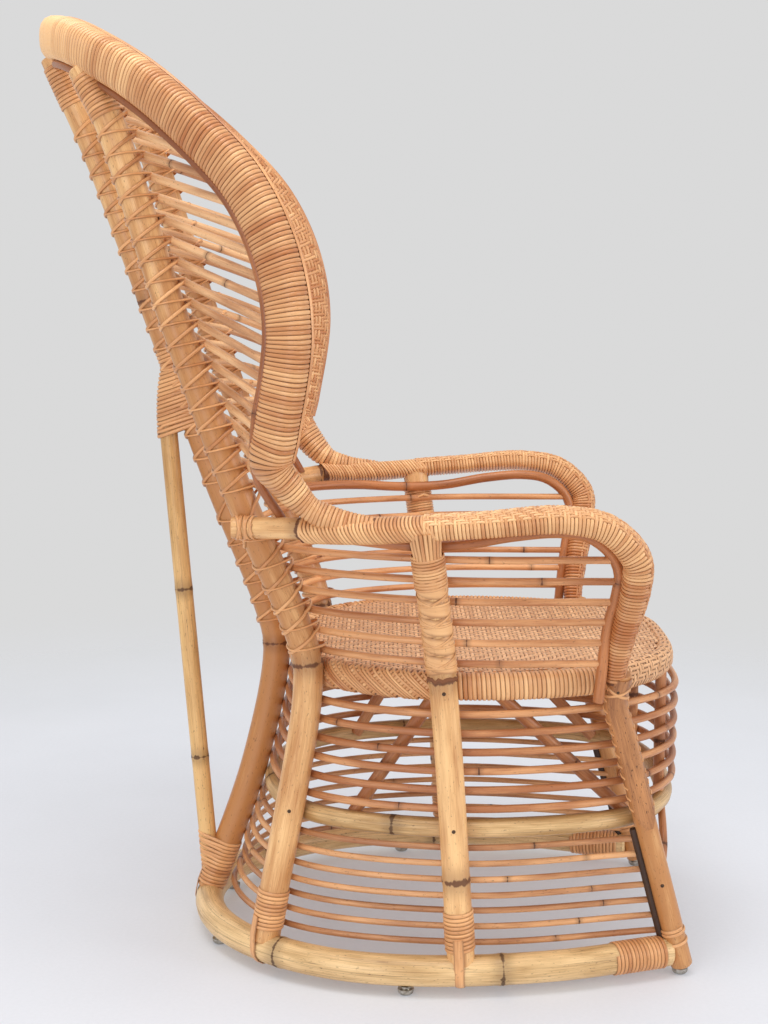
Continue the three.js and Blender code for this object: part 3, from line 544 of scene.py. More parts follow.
def clean(piece):
    """Merge doubles, turn the faces outward and smooth the shading."""
    bpy.ops.object.select_all(action="DESELECT")
    bpy.context.view_layer.objects.active = piece
    piece.select_set(True)
    bpy.ops.object.mode_set(mode="EDIT")
    bpy.ops.mesh.select_all(action="SELECT")
    bpy.ops.mesh.remove_doubles(threshold=1e-6)
    bpy.ops.mesh.normals_make_consistent(inside=False)
    bpy.ops.object.mode_set(mode="OBJECT")
    bpy.ops.object.shade_smooth_by_angle(angle=SMOOTH_ANGLE)


def settle(piece, finish, slot, *nodes):
    """The piece rides on the chair, has its finish, and hides the solids it replaces."""
    piece.data.materials.clear()
    piece.data.materials.append(finish)
    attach(piece, "root")
    if nodes:
        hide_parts(*nodes)
    return piece


def bent_pole(name, bend, radius, step, knots, bevels, first=0.0, last=None, tone=0.0, mark=1.0):
    """A pole from first to last along a bend, with knots at some lengths and a ring at every step."""
    last = bend.length if last is None else last
    stops = np.linspace(first, last, max(3, int((last - first) / step)) + 1)
    if bend.closed:
        stops = stops[:-1]
    knots = np.array(sorted(knots), float)
    if len(knots):
        far = np.min(np.abs(stops[:, None] - knots), axis=1) > KNOT_AT[-1]
        far[0] = far[-1] = True
        near = (knots[:, None] + np.array(KNOT_AT)).ravel()
        stops = np.sort(np.concatenate([stops[far], near[(near > first) & (near < last)]]))
        away = stops - knots[np.argmin(np.abs(stops[:, None] - knots), axis=1)]
        swell, away = np.interp(away, KNOT_AT, KNOT_SWELL), np.abs(away)
    else:
        away, swell = np.full(len(stops), NO_KNOT), np.ones(len(stops))
    if not bend.closed:
        stops = np.concatenate([[first], [first + END_ROUND], stops[1:-1], [last - END_ROUND], [last]])
        order = np.argsort(stops)
        pad = lambda row, end: np.concatenate([[end], row[:1], row[1:-1], row[-1:], [end]])[order]
        swell, away = pad(swell, END_TAPER), pad(away, NO_KNOT)
        stops = stops[order]
    spots = bend.at(bend.share_of(stops)) * MM

    bpy.ops.object.select_all(action="DESELECT")
    bpy.ops.curve.primitive_nurbs_path_add()
    path = bpy.context.object
    path.name = name
    path.data.splines.clear()
    line = path.data.splines.new("POLY")
    line.points.add(len(spots) - 1)
    line.points.foreach_set("co", np.c_[spots, np.ones(len(spots))].ravel())
    line.points.foreach_set("radius", radius * MM * swell)
    line.use_cyclic_u = bend.closed
    path.data.bevel_depth = 1.0
    path.data.bevel_resolution = bevels
    path.data.use_fill_caps = True
    bpy.ops.object.convert(target="MESH")
    piece = bpy.context.object
    piece.data.name = name

    sides = 4 + 2 * bevels
    rows = np.arange(len(stops))
    if not bend.closed:
        rows = np.concatenate([[len(stops) - 1, 0], rows])
    angle = np.tile(np.arange(sides) * 2 * math.pi / sides, len(rows))
    length = np.repeat(stops[rows], sides)
    offset = rng.uniform(0, GRAIN_START)
    grain = np.c_[radius * np.cos(angle), radius * np.sin(angle), length + offset]
    give(piece.data, "grain", grain)
    give(piece.data, "knot", np.repeat(away[rows] / mark, sides))
    give(piece.data, "tone", tone(length) if callable(tone) else np.full(len(grain), tone))
    clean(piece)
    return piece


print("poles swell by", round(100 * max(KNOT_SWELL) - 100, 1), "% at a knot")

# %% [markdown]
# ## Standing frame
# Two front legs, two side posts and three stiles stand on the base hoop, with a thin bamboo prop behind the
# middle stile. Old rattan darkens unevenly, so a tone may change along a pole. Low on the centre stile and
# the front legs, the darker tone is painted shade. The stiles run on into the rim and the legs into the
# arms, where the windings hide their ends.

# %% Stand the frame
POLE_STEP, POLE_BEVELS = 14, 6  # mm between rings, bevel resolution
POST_KNOTS = (163, 440)  # heights, as for the next three
SIDE_STILE_KNOTS = (440,)
CENTRE_STILE_KNOTS = (425, 930)
PROP_KNOTS = (505, 250)
BASE_KNOTS = (248, 562, 1010, 1330)  # mm along the hoop from its right end
POST_MARK, STILE_MARK = 1.4, 1.3  # size of their knot marks
STILE_BEYOND = 22
SLIM_LEG_RADIUS, SLIM_LEG_FORWARD = 15.5, (0, -2.5, 0)  # the batten behind the leg fills the rest
LEG_FIRST = 12.3  # height of the leg's end over its glide
LEG_BOW, LEG_IN_ARM = 350, 440  # heights where the leg turns towards the arm and where it ends in it
PROP_HIDDEN = 775  # height of the prop's end inside its binding
AGED = (400, 600, 850, 1050), (-0.3, -1.3, -1.1, 0.1)  # lengths and tones of a stile, dark above the seat
# painted shade: the centre stile is darker low down, in the shadow behind the skirt; above the seat it
# darkens with age like the side stiles
CENTRE_AGE_AND_SHADE = (400, 600, 850, 1050), (-1.6, -1.5, -1.1, 0.1)
PROP_AGED = (0, 500), (1.3, -0.2)
# painted shade: the lower leg is darker, for the shade on its outer side; from its facing up it is brown
LEG_SHADE_AND_BROWN = (230, 260), (-1.1, -2.7)  # brown from its facing up
POST_TONE, BASE_TONE = 0.3, 0.3


def by_length(table):
    """A tone that changes along a pole, from a table of lengths and tones."""
    return lambda lengths: np.interp(lengths, *table)


in_arm = at_height(arm, LEG_IN_ARM, ARM_TURN)
leg_spots = (on_right(LEG_FOOT), at_height(leg, LEG_BOW), on_right(LEG_TOP), in_arm)
slim_leg = Bend([spot + SLIM_LEG_FORWARD for spot in leg_spots])
hidden_prop = Bend([prop.at(0), at_height(prop, PROP_HIDDEN)])
side_stile_pole = stile_line(SIDE_STILE_FOOT, SIDE_STILE_BENDS, SIDE_STILE_TOP, STILE_BEYOND)
centre_stile_pole = stile_line(0, CENTRE_STILE_BENDS, 0, STILE_BEYOND)
side_poles = (
    ("front_leg", slim_leg, SLIM_LEG_RADIUS, (), by_length(LEG_SHADE_AND_BROWN), 1.0),
    ("side_post", post, POST_RADIUS, POST_KNOTS, POST_TONE, POST_MARK),
    ("side_stile", side_stile_pole, SIDE_STILE_RADIUS, SIDE_STILE_KNOTS, by_length(AGED), STILE_MARK),
)
piece = bent_pole(
    "base_hoop_pole", base_hoop, BASE_RADIUS, POLE_STEP, BASE_KNOTS, POLE_BEVELS, tone=BASE_TONE,
)
settle(piece, straw_pole, "pale_pole", "base_hoop")
for side in SIDES:
    for label, bend, radius, knots, tone, mark in side_poles:
        first = at_level(slim_leg, LEG_FIRST) if bend is slim_leg else 0.0
        lengths = [at_level(bend, knot) for knot in knots]
        piece = bent_pole(
            f"{side}_{label}_pole", on_side(side, bend), radius, POLE_STEP, lengths, POLE_BEVELS, first,
            tone=tone, mark=mark,
        )
        settle(piece, golden_pole, "pole", f"{side}_{label}")
lengths = [at_level(centre_stile_pole, knot) for knot in CENTRE_STILE_KNOTS]
piece = bent_pole(
    "centre_stile_pole", centre_stile_pole, CENTRE_STILE_RADIUS, POLE_STEP, lengths, POLE_BEVELS,
    tone=by_length(CENTRE_AGE_AND_SHADE),
)
settle(piece, golden_pole, "pole", "centre_stile")
lengths = [at_level(hidden_prop, knot) for knot in PROP_KNOTS]
piece = bent_pole(
    "back_prop_pole", hidden_prop, PROP_RADIUS, POLE_STEP, lengths, POLE_BEVELS, tone=by_length(PROP_AGED),
)
settle(piece, bamboo_pole, "pale_pole", "back_prop")
print("frame poles:", 2 * len(side_poles) + 3)

# %% [markdown]
# ## Hoops and canes of the skirt
# The mid hoop runs inside the posts. Six closed canes lie between it and the seat, and seven open ones
# between it and the base hoop, which end on the front legs. They touch the inner side of every post.

# %% Bend the canes
SKIRT_CENTRE_FORWARD, STANCHION_SIDE = 180, 130
MID_RADIUS, MID_HEIGHT, MID_FRONT, MID_SHOULDER = 13.5, 224, 446, 427
UPPER_RADIUS, UPPER_FRONT, UPPER_SHOULDER = 5.3, 458, 439
UPPER_HEIGHTS = np.linspace(253, 385, 6)
LOWER_RADIUS, LOWER_END_INSET = 4.3, 8
LOWER_HEIGHTS = np.linspace(63, 199, 7)
BINDING_TOP, BINDING_RISE = 121.2, 3.9
MID_KNOTS, MID_BEVELS, MID_TONE = (562, 842, 1240), 5, -0.5
SKIRT_STEP, CANE_BEVELS = 16, 3
UPPER_TONES, CANE_TONES = (-1.2, 0.0), (-0.6, 0.6)
CANE_FIRST_KNOT, CANE_KNOT_GAP, CANE_LAST_KNOT = (60, 240), (380, 640), 40  # mm, the last from the end
CANE_MARK = 0.4  # size of a cane's knot marks


def inside(bend, radius, height, offset, start=0.0, end=1.0):
    """A point beside a leaning post, on the side that faces the middle of the skirt."""
    share = where_on(bend, lambda point: point[2] - height, start, end)
    axis = bend.at(share)
    inward = unit(at(0, SKIRT_CENTRE_FORWARD, axis[2]) - axis)
    lean = inward @ bend.along(share)
    return axis + inward * (radius + offset) / math.sqrt(1 - lean**2)


def right_contacts(height, reach):
    if height < LEG_TOP[2]:
        front = inside(leg, LEG_RADIUS, height, reach)
    else:
        front = inside(arm, ARM_TALL / 2, height, reach, ARM_TURN)
    beside_post = inside(post, POST_RADIUS, height, reach)
    return [front, beside_post, inside(side_stile, SIDE_STILE_RADIUS, height, reach)]


def hoop_line(height, front, shoulder, reach):
    half = [at(-STANCHION_SIDE, shoulder, height), *right_contacts(height, reach)]
    rear = inside(centre_stile, CENTRE_STILE_RADIUS, height, reach)
    return Bend([at(0, front, height), *half, rear, *mirrored(half)[::-1]], closed=True)


def cane_knots(bend):
    """Knots at uneven distances along a cane, the same on every run."""
    places, place = [], rng.uniform(*CANE_FIRST_KNOT)
    while place < bend.length - CANE_LAST_KNOT:
        places.append(place)
        place += rng.uniform(*CANE_KNOT_GAP)
    return places


def thin_cane(name, bend, radius, step, tones):
    """A thin cane with its own knots and a tone between two others."""
    knots = cane_knots(bend)
    tone = rng.uniform(*tones)
    return bent_pole(name, bend, radius, step, knots, CANE_BEVELS, tone=tone, mark=CANE_MARK)


mid_hoop = hoop_line(MID_HEIGHT, MID_FRONT, MID_SHOULDER, MID_RADIUS - LET_IN)
piece = bent_pole("mid_hoop_pole", mid_hoop, MID_RADIUS, SKIRT_STEP, MID_KNOTS, MID_BEVELS, tone=MID_TONE)
settle(piece, straw_pole, "pale_pole", "mid_hoop")

for number, height in enumerate(UPPER_HEIGHTS, 1):
    line = hoop_line(height, UPPER_FRONT, UPPER_SHOULDER, UPPER_RADIUS - LET_IN)
    piece = thin_cane(f"upper_cane_{number}", line, UPPER_RADIUS, SKIRT_STEP, UPPER_TONES)
    settle(piece, brown_cane, "cane", f"upper_skirt_cane_{number}")

for number, height in enumerate(LOWER_HEIGHTS, 1):
    rise = BINDING_RISE if height < BINDING_TOP + LOWER_RADIUS else -LET_IN
    end = at_height(leg, height) + (LOWER_END_INSET, 0, 0)
    half = [end, *right_contacts(height, LOWER_RADIUS + rise)[1:]]
    rear = inside(centre_stile, CENTRE_STILE_RADIUS, height, LOWER_RADIUS + rise)
    line = Bend([*half, rear, *mirrored(half)[::-1]])
    piece = thin_cane(f"lower_cane_{number}", line, LOWER_RADIUS, SKIRT_STEP, CANE_TONES)
    settle(piece, grey_cane, "cane", f"lower_skirt_cane_{number}")
print("skirt canes:", len(UPPER_HEIGHTS) + len(LOWER_HEIGHTS))

# %% [markdown]
# ## Short poles under the seat
# Four struts slant from the mid hoop to the seat hoop, two stanchions stand at the front, and a thin curved
# brace runs from each front leg to the mid hoop. Round rattan again, only shorter.

# %% Set the struts, stanchions and braces
SEAT_HEIGHT, SEAT_TALL, SEAT_WIDE, SEAT_FRONT, SEAT_SHOULDER = 442, 39, 26, 440, 422
SEAT_MIDDLE = SEAT_HEIGHT - SEAT_TALL / 2
STRUT_RADIUS, STRUT_SET_IN = 9, 12
STRUTS = {"front_strut": (174, 380), "rear_strut": (110, -20)}  # forward at the top and at the foot
STANCHION_RADIUS = 8
SHORT_KNOT, SHORT_BEVELS = 0.4, 4  # share of the length
SHADED = -0.8  # tone of the poles under the seat
BRACE_RADIUS, BRACE_FOOT_HEIGHT, BRACE_KNEE, BRACE_TOP_SIDE = 5.5, 130, (196, 424, 176), 120

seat_line = hoop_line(SEAT_MIDDLE, SEAT_FRONT, SEAT_SHOULDER, SEAT_WIDE / 2 - LET_IN)


def hoop_spot(bend, forward):
    share = where_on(bend, lambda point: point[1] - (shift - forward), 0, 0.5)
    spot = bend.at(share)
    return spot + unit(at(0, SKIRT_CENTRE_FORWARD, spot[2]) - spot) * STRUT_SET_IN


stanchion_forward = UPPER_SHOULDER - UPPER_RADIUS - STANCHION_RADIUS
stanchion = Bend([
    at(-STANCHION_SIDE, stanchion_forward, MID_HEIGHT + MID_RADIUS),
    at(-STANCHION_SIDE, stanchion_forward, SEAT_MIDDLE),
])
share = where_on(mid_hoop, lambda point: point[0] + BRACE_TOP_SIDE, 0, 0.2)
brace = Bend([at_height(leg, BRACE_FOOT_HEIGHT), on_right(BRACE_KNEE), mid_hoop.at(share)])
under_seat = {
    "stanchion": (stanchion, STANCHION_RADIUS, "pole"),
    "front_brace": (brace, BRACE_RADIUS, "cane"),
}
for label, (top, foot) in STRUTS.items():
    line = Bend([hoop_spot(mid_hoop, foot), hoop_spot(seat_line, top)])
    under_seat[label] = (line, STRUT_RADIUS, "pole")
for label, (line, radius, slot) in under_seat.items():
    knots = (line.length * SHORT_KNOT,)
    for side in SIDES:
        name = f"{side}_{label}"
        piece = bent_pole(
            f"{name}_pole", on_side(side, line), radius, POLE_STEP, knots, SHORT_BEVELS, tone=SHADED,
        )
        settle(piece, brown_cane, slot, name)
print("short poles:", 2 * len(under_seat))

# %% [markdown]
# ## Canes of the back and the arms
# A thick red-brown cane lies under each arm and another along the inner edge of the rim. Six canes run from
# one arm cane round the back to the other, and nineteen ribs fill the back, each in a plane that falls
# towards the front.

# %% Fill the back and the arms
ARM_CANE_RADIUS, ARM_CANE_DROP, ARM_CANE_START, ARM_CANE_POINTS = 7.5, 26, 0.1, 12
ARM_CANE_TURN, ARM_CANE_LEAVES, ARM_CANE_FOOT = 0.5, 505, (276, 319, 404)
ARM_CANE_KNOTS, ARM_CANE_STEP = (210, 520), 10
BACK_CANE_RADIUS, BACK_STEP = 5, 14
BACK_CANE_HEIGHTS = np.linspace(457, 600, 6)
RIB_RADIUS, RIB_CLEARANCE, RIB_END_REACH = 5.5, 1.4, 0.45
RIB_HEIGHTS = np.linspace(676, 1172, 19)
RIB_FALL, RIB_FALL_GAIN, RIB_FALL_CHANGE, RIB_FALL_POWER = 0.17, 0.33, -0.85, 5
RIB_AT_BINDING, BINDING_SPAN = 3.87, (733, 843)
STILE_ABOVE_SEAT = 0.3
RIM_CANE_TONE, RIM_CANE_STEP, THICK_CANE_BEVELS = -0.8, 12, 4


def arm_cane_line():
    inset = POST_RADIUS + ARM_CANE_RADIUS - LET_IN
    end = where_on(arm, lambda point: point[2] - ARM_CANE_LEAVES, ARM_TURN, 1)
    spots = []
    for share in np.linspace(ARM_CANE_START, end, ARM_CANE_POINTS):
        spot = arm.at(share)
        inward = unit((on_right(ARM_PANEL_CENTRE) - spot) * (0, 1, 1))
        spot[0] += inset * min(1, (end - share) / (end - ARM_TURN))
        spots.append(spot + inward * ARM_CANE_DROP)
    return Bend([*spots, on_right(ARM_CANE_FOOT)])


def beside_stile(bend, radius, off_plane, direction, clearance):
    """Where a rib passes the front of a stile, and the way out of the stile there."""
    share = where_on(bend, off_plane, STILE_ABOVE_SEAT, 1)
    spot = bend.at(share)
    out = unit(np.cross(bend.along(share), direction))
    out = out * -np.sign(out[1])
    return spot + out * (radius + RIB_RADIUS + clearance(spot[2])), bend.length_of(share), out


def rear_clearance(height):
    return RIB_AT_BINDING if BINDING_SPAN[0] < height < BINDING_SPAN[1] else RIB_CLEARANCE


def rib_line(height, lowness):
    fall = RIB_FALL + RIB_FALL_GAIN * lowness + RIB_FALL_CHANGE * lowness**RIB_FALL_POWER
    axis = at_height(side_stile, height)
    off_plane = lambda point: point[2] - height - fall * (point[1] - axis[1])
    end = rim_cane.at(where_on(rim_cane, off_plane, 0, RIB_END_REACH))
    straight_out = np.array([1, 0, 0])
    rear, *centre_lash = beside_stile(
        centre_stile, CENTRE_STILE_RADIUS, off_plane, straight_out, rear_clearance,
    )
    beside, *side_lash = beside_stile(
        side_stile, SIDE_STILE_RADIUS, off_plane, unit(rear - end), lambda _: RIB_CLEARANCE,
    )
    half = [end, beside]
    return Bend([*half, rear, *mirrored(half)[::-1]]), side_lash, centre_lash


arm_cane = arm_cane_line()
for side in SIDES:
    piece = bent_pole(
        f"{side}_arm_cane_bent", on_side(side, arm_cane), ARM_CANE_RADIUS, ARM_CANE_STEP, ARM_CANE_KNOTS,
        THICK_CANE_BEVELS, mark=CANE_MARK,
    )
    settle(piece, red_cane, "cane", f"{side}_arm_cane")

side_crossings, centre_crossings, post_crossings = [], [], []  # length along the pole, way out to the cane
for number, height in enumerate(BACK_CANE_HEIGHTS, 1):
    reach = BACK_CANE_RADIUS - LET_IN
    beside = inside(side_stile, SIDE_STILE_RADIUS, height, reach)
    rear = inside(centre_stile, CENTRE_STILE_RADIUS, height, reach)
    beside_post = inside(post, POST_RADIUS, height, reach)
    half = [at_height(arm_cane, height, ARM_CANE_TURN, 1), beside_post, beside]
    line = Bend([*half, rear, *mirrored(half)[::-1]])
    piece = thin_cane(f"lower_back_cane_bent_{number}", line, BACK_CANE_RADIUS, BACK_STEP, CANE_TONES)
    settle(piece, brown_cane, "cane", f"lower_back_cane_{number}")
    for bend, spot, crossings in (
        (side_stile, beside, side_crossings),
        (centre_stile, rear, centre_crossings),
        (post, beside_post, post_crossings),
    ):
        share = where_on(bend, lambda point: point[2] - height)
        crossings.append((bend.length_of(share), unit(spot - bend.at(share))))

for number, height in enumerate(RIB_HEIGHTS, 1):
    line, side_lash, centre_lash = rib_line(height, 1 - (number - 1) / (len(RIB_HEIGHTS) - 1))
    side_crossings.append(tuple(side_lash))
    centre_crossings.append(tuple(centre_lash))
    piece = thin_cane(f"rib_{number}", line, RIB_RADIUS, BACK_STEP, CANE_TONES)
    settle(piece, rib_cane, "cane")
knots = cane_knots(rim_cane)
piece = bent_pole(
    "rim_cane", rim_cane, RIM_CANE_RADIUS, RIM_CANE_STEP, knots, THICK_CANE_BEVELS,
    tone=RIM_CANE_TONE, mark=CANE_MARK,
)
settle(piece, red_cane, "cane", "back_lattice")
print("ribs:", len(RIB_HEIGHTS), "lower back canes:", len(BACK_CANE_HEIGHTS))

# %% [markdown]
# ## Split cane
# Split cane is a flat strip with a rounded, glossy outside. A winding is one strip on a spiral, and a mesh
# written point by point follows the pole more closely than a curve with a flat bevel, which would twist.
# A bundle collects strips and makes them one piece. Every strip is a closed form with six corners.

# %% Lay strips
STRIP_SECTION = np.array([
    (-0.5, 0.0), (-0.38, 0.62), (-0.14, 0.96), (0.14, 0.96), (0.38, 0.62), (0.5, 0.0),
])
STRIP_GRAIN_START = 9000  # mm, the grain of a strip starts anywhere in this


class Bundle:
    """Strips of split cane that make one piece."""

    def __init__(self):
        self.spots, self.faces, self.grain, self.tone, self.count = [], [], [], [], 0

    def skin(self, body, grain, tone, way=1):
        """Close a row of rings into a tube with two ends. way is -1 for rings that run the other way."""
        rows, corners = body.shape[:2]
        ring, corner = np.arange(rows - 1)[:, None], np.arange(corners)[None]
        beside = (corner + 1) % corners
        here = lambda row, place: (self.count + row * corners + place).ravel()
        quads = [here(ring, corner), here(ring + 1, corner), here(ring + 1, beside), here(ring, beside)]
        if way == -1:
            quads[1], quads[3] = quads[3], quads[1]
        self.faces += np.stack(quads, axis=1).tolist()
        end = self.count + np.arange(corners)[::way]
        self.faces.append(end.tolist())
        self.faces.append((end[::-1] + (rows - 1) * corners).tolist())
        self.spots.append(body.reshape(-1, 3))
        self.grain.append(grain.reshape(-1, 3))
        self.tone.append(np.repeat(np.broadcast_to(tone, rows), corners))
        self.count += rows * corners

    def strip(self, spots, out, width, thick, tone):
        """A strip along spots, lying on them with its rounded side towards out."""
        side = unit(np.cross(unit(np.gradient(spots, axis=0)), out))
        rows, corners = len(spots), len(STRIP_SECTION)
        width = np.broadcast_to(width, rows)[:, None, None]
        x, y = STRIP_SECTION[:, 0][None, :, None], STRIP_SECTION[:, 1][None, :, None]
        body = spots[:, None] + side[:, None] * x * width + out[:, None] * y * thick
        gaps = np.linalg.norm(np.diff(spots, axis=0), axis=1)
        length = np.concatenate([[0], np.cumsum(gaps)]) + rng.uniform(0, STRIP_GRAIN_START)
        grain = np.empty((rows, corners, 3))
        grain[..., 0] = x[..., 0] * STRIP_GRAIN
        grain[..., 1] = (y * thick)[..., 0]
        grain[..., 2] = length[:, None]
        self.skin(body, grain, tone)

    def rings(self, rings, grain=None):
        """A closed skin over a row of equal rings, as for the core under a winding."""
        self.skin(rings, rings if grain is None else grain, 0.0, -1)

    def piece(self, name):
        mesh = bpy.data.meshes.new(name)
        mesh.from_pydata((np.concatenate(self.spots) * MM).tolist(), [], self.faces)
        give(mesh, "grain", np.concatenate(self.grain))
        give(mesh, "tone", np.concatenate(self.tone))
        give(mesh, "knot", np.full(self.count, NO_KNOT))
        made = bpy.data.objects.new(name, mesh)
        bpy.context.scene.collection.objects.link(made)
        clean(made)
        return made


print("corners of a strip:", len(STRIP_SECTION))

# %% [markdown]
# ## Windings with a woven face
# The rim, the arms and the seat edge are thick cores that split cane is wound over, turn beside turn. On
# one face of the rim and of each arm, the turns also go over two and under two lengthwise strands, which
# gives a herringbone. Each turn is as wide as the room to the next one, so the turns fan out round a bend.

# %% Wind a core
OVAL_SQUARENESS = 0.7
OVAL_STEPS = 720
CORE_SIDES = 20
WRAP_THICK = 1.7
WRAP_FILL = 0.95  # share of the pitch that a turn covers
WRAP_ROOM = (0.5, 1.8)  # pitches, the least and the most room that a turn may have
WRAP_WAVER = 0.2  # mm that a turn lies off its place
WEAVE_RISE = 1.3
STRAND_WIDTH_SHARE = 0.96
STRAND_MARGIN = 0.7  # strand pitches from the woven face to the nearest bare stop
TURN_TONE, DRIFT_TONE, STRAND_TONE = 0.55, (11, 0.3), (40, 0.7)  # spread, or turns in a run and spread
BUNCH_TURNS = 4  # turns that lie close together in a braid


class Oval:
    """A flattened oval section, squarer than an ellipse, measured round its edge in millimetres."""

    def __init__(self, wide, tall, squareness):
        angle = np.linspace(0, 2 * math.pi, OVAL_STEPS + 1)
        power = lambda value, exponent: np.sign(value) * np.abs(value) ** exponent
        cos, sin = np.cos(angle), np.sin(angle)
        self.edge = np.c_[power(cos, squareness) * wide / 2, power(sin, squareness) * tall / 2]
        flat = 2 - squareness
        self.normal = unit(np.c_[power(cos, flat) / wide, power(sin, flat) / tall])
        gaps = np.linalg.norm(np.diff(self.edge, axis=0), axis=1)
        self.way = np.concatenate([[0], np.cumsum(gaps)])
        self.round = self.way[-1]

    def read(self, table, way):
        way = np.mod(way, self.round)
        return np.stack([np.interp(way, self.way, table[:, i]) for i in (0, 1)], axis=-1)

    def at(self, way):
        return self.read(self.edge, way)

    def out(self, way):
        return unit(self.read(self.normal, way))


class Core:
    """A swept core, and the places on its surface. It may change in size and sink towards its aim."""

    def __init__(
        self, bend, wide, tall, aim,
        squareness=OVAL_SQUARENESS, scale=lambda lengths: 1.0, sink=np.zeros_like,
    ):
        self.bend, self.aim, self.scale, self.sink = bend, aim, scale, sink
        self.oval = Oval(wide, tall, squareness)

    def surface(self, lengths, ways):
        lengths = np.asarray(lengths, float)
        centre, across, third = frames_on(self.bend, lengths, self.aim)
        spot, out = self.oval.at(ways) * self.scale(lengths), self.oval.out(ways)
        place = centre + across * (spot[:, :1] + self.sink(lengths)[:, None]) + third * spot[:, 1:]
        return place, across * out[:, :1] + third * out[:, 1:]

    def rings(self, first, last, step):
        lengths = np.linspace(first, last, int((last - first) / step) + 2)
        ways = np.linspace(0, self.oval.round, CORE_SIDES, endpoint=False)
        place, _ = self.surface(np.repeat(lengths, CORE_SIDES), np.tile(ways, len(lengths)))
        return place.reshape(len(lengths), CORE_SIDES, 3)


def herringbone(turn, strand, strands):
    """True where a turn lies over a strand: over two, under two, mirrored at the middle."""
    slope = np.minimum(strand, strands - 1 - strand)
    return np.mod(turn + slope, 4) < 2


def drifting(count, run, spread):
    """A row of random tones, one kept for a run and blended into the next."""
    marks = np.arange(0, count + run, run)
    return np.interp(np.arange(count), marks, rng.normal(0, spread, len(marks)))


def wind(
    bundle, core, first, last, pitch, bare_stops, woven_at=None, strands=0, strand_pitch=0.0,
    waver=WRAP_WAVER, slant=None, lift=0.0, painted_light=np.zeros_like, fill=WRAP_FILL, bunch=0.0,
):
    """One strip wound over the core, with lengthwise strands woven in on one face."""
    turns = int((last - first) / pitch)
    edge = core.oval.round
    strand_ways = np.zeros(0)
    if strands:
        strand_ways = woven_at * edge + (np.arange(strands) - (strands - 1) / 2) * strand_pitch
        margin = strand_pitch * STRAND_MARGIN
        bare_ways = np.linspace(strand_ways[-1] + margin, strand_ways[0] + edge - margin, bare_stops)
    else:
        bare_ways = np.linspace(0, edge, bare_stops, endpoint=False)
    ways = np.concatenate([strand_ways, bare_ways])
    base = ways[0]
    grids = np.meshgrid(np.arange(turns), np.arange(len(ways)), indexing="ij")
    turn, stop = (grid.ravel() for grid in grids)
    fraction = turn + (ways[stop] - base) / edge
    every = np.arange(turns + 2)
    shifts = rng.normal(0, waver, turns + 2) - bunch * (every % BUNCH_TURNS)
    lengths = first + fraction * pitch + np.interp(fraction, every, shifts)
    lean = slant(lengths) if slant else np.zeros(len(lengths))
    lengths = np.clip(lengths - lean * core.oval.at(ways[stop])[:, 0], first, last)
    spots, out = core.surface(lengths, ways[stop])
    after, _ = core.surface(lengths + pitch, ways[stop])
    room = np.linalg.norm(after - spots, axis=1)
    least, most = WRAP_ROOM
    width = np.clip(room, least * pitch, most * pitch) * fill / np.sqrt(1 + lean**2)
    over = (stop < strands) & herringbone(turn, stop, max(strands, 1))
    spots = spots + out * (lift + np.where(over, WEAVE_RISE, 0.0))[:, None]
    # painted_light adds painted light and shade to the tones of the turns and the strands
    shades = rng.normal(0, TURN_TONE, turns + 2) + drifting(turns + 2, *DRIFT_TONE)
    bundle.strip(spots, out, width, WRAP_THICK, np.interp(fraction, every, shades) + painted_light(lengths))
    for strand in range(strands):
        row = np.arange(turns)
        lengths = first + (row + (ways[strand] - base) / edge) * pitch
        lengths = np.clip(lengths, first, last)
        spots, out = core.surface(lengths, np.full(turns, ways[strand]))
        after, _ = core.surface(lengths, np.full(turns, ways[strand] + strand_pitch))
        width = np.linalg.norm(after - spots, axis=1) * STRAND_WIDTH_SHARE
        rise = np.where(herringbone(row, strand, strands), 0.0, WEAVE_RISE)
        tone = drifting(turns, *STRAND_TONE) + painted_light(lengths)
        bundle.strip(spots + out * rise[:, None], out, width, WRAP_THICK, tone)
    return turns


print("a turn covers", WRAP_FILL, "of its pitch")

# %% [markdown]
# ## Rim
# The rim's foot runs on into the arm and grows thinner there, so that its turns fan out over the arm. A thin
# round cane covers each edge of the woven face.

# %% Wind the rim
RIM_PITCH = 5.6
RIM_STRANDS = 8
RIM_STRAND_PITCH = 6.0
RIM_WOVEN_AT = 0.75  # the face towards the sitter
RIM_FOOT = [(312, 22, 643), (303, -22, 650), (299, -62, 668), (304, -92, 700)]  # from inside the arm
RIM_FOOT_SCALES = (0.5, 0.58, 0.72, 0.88, 1.0)
RIM_LOW_BENDS = 2  # lowest bends of the solid rim that the foot replaces
RIM_PLAIN_SPANS, RIM_SEAM = 3, 6  # spans of the foot without weave, mm that the windings overlap
RIM_STOPS, PLAIN_STOPS = 16, 24  # in a turn, beside the weave or without it
RIM_EDGE_WIDTH, RIM_EDGE_THICK, RIM_EDGE_OFF = 7.0, 3.6, 25.5
RIM_EDGE_STEP, RIM_EDGE_LIFT, RIM_EDGE_TONE = 8.0, 0.7 * WRAP_THICK, (30, 0.5)
CORE_STEP = 12
# painted light: the turns are lighter at the crown, the top of the rim under the light from above, and a
# little darker further down
CROWN_PAINTED_LIGHT = (0, 170, 330), (2.8, 1.4, -0.5)  # mm from the crown, tones

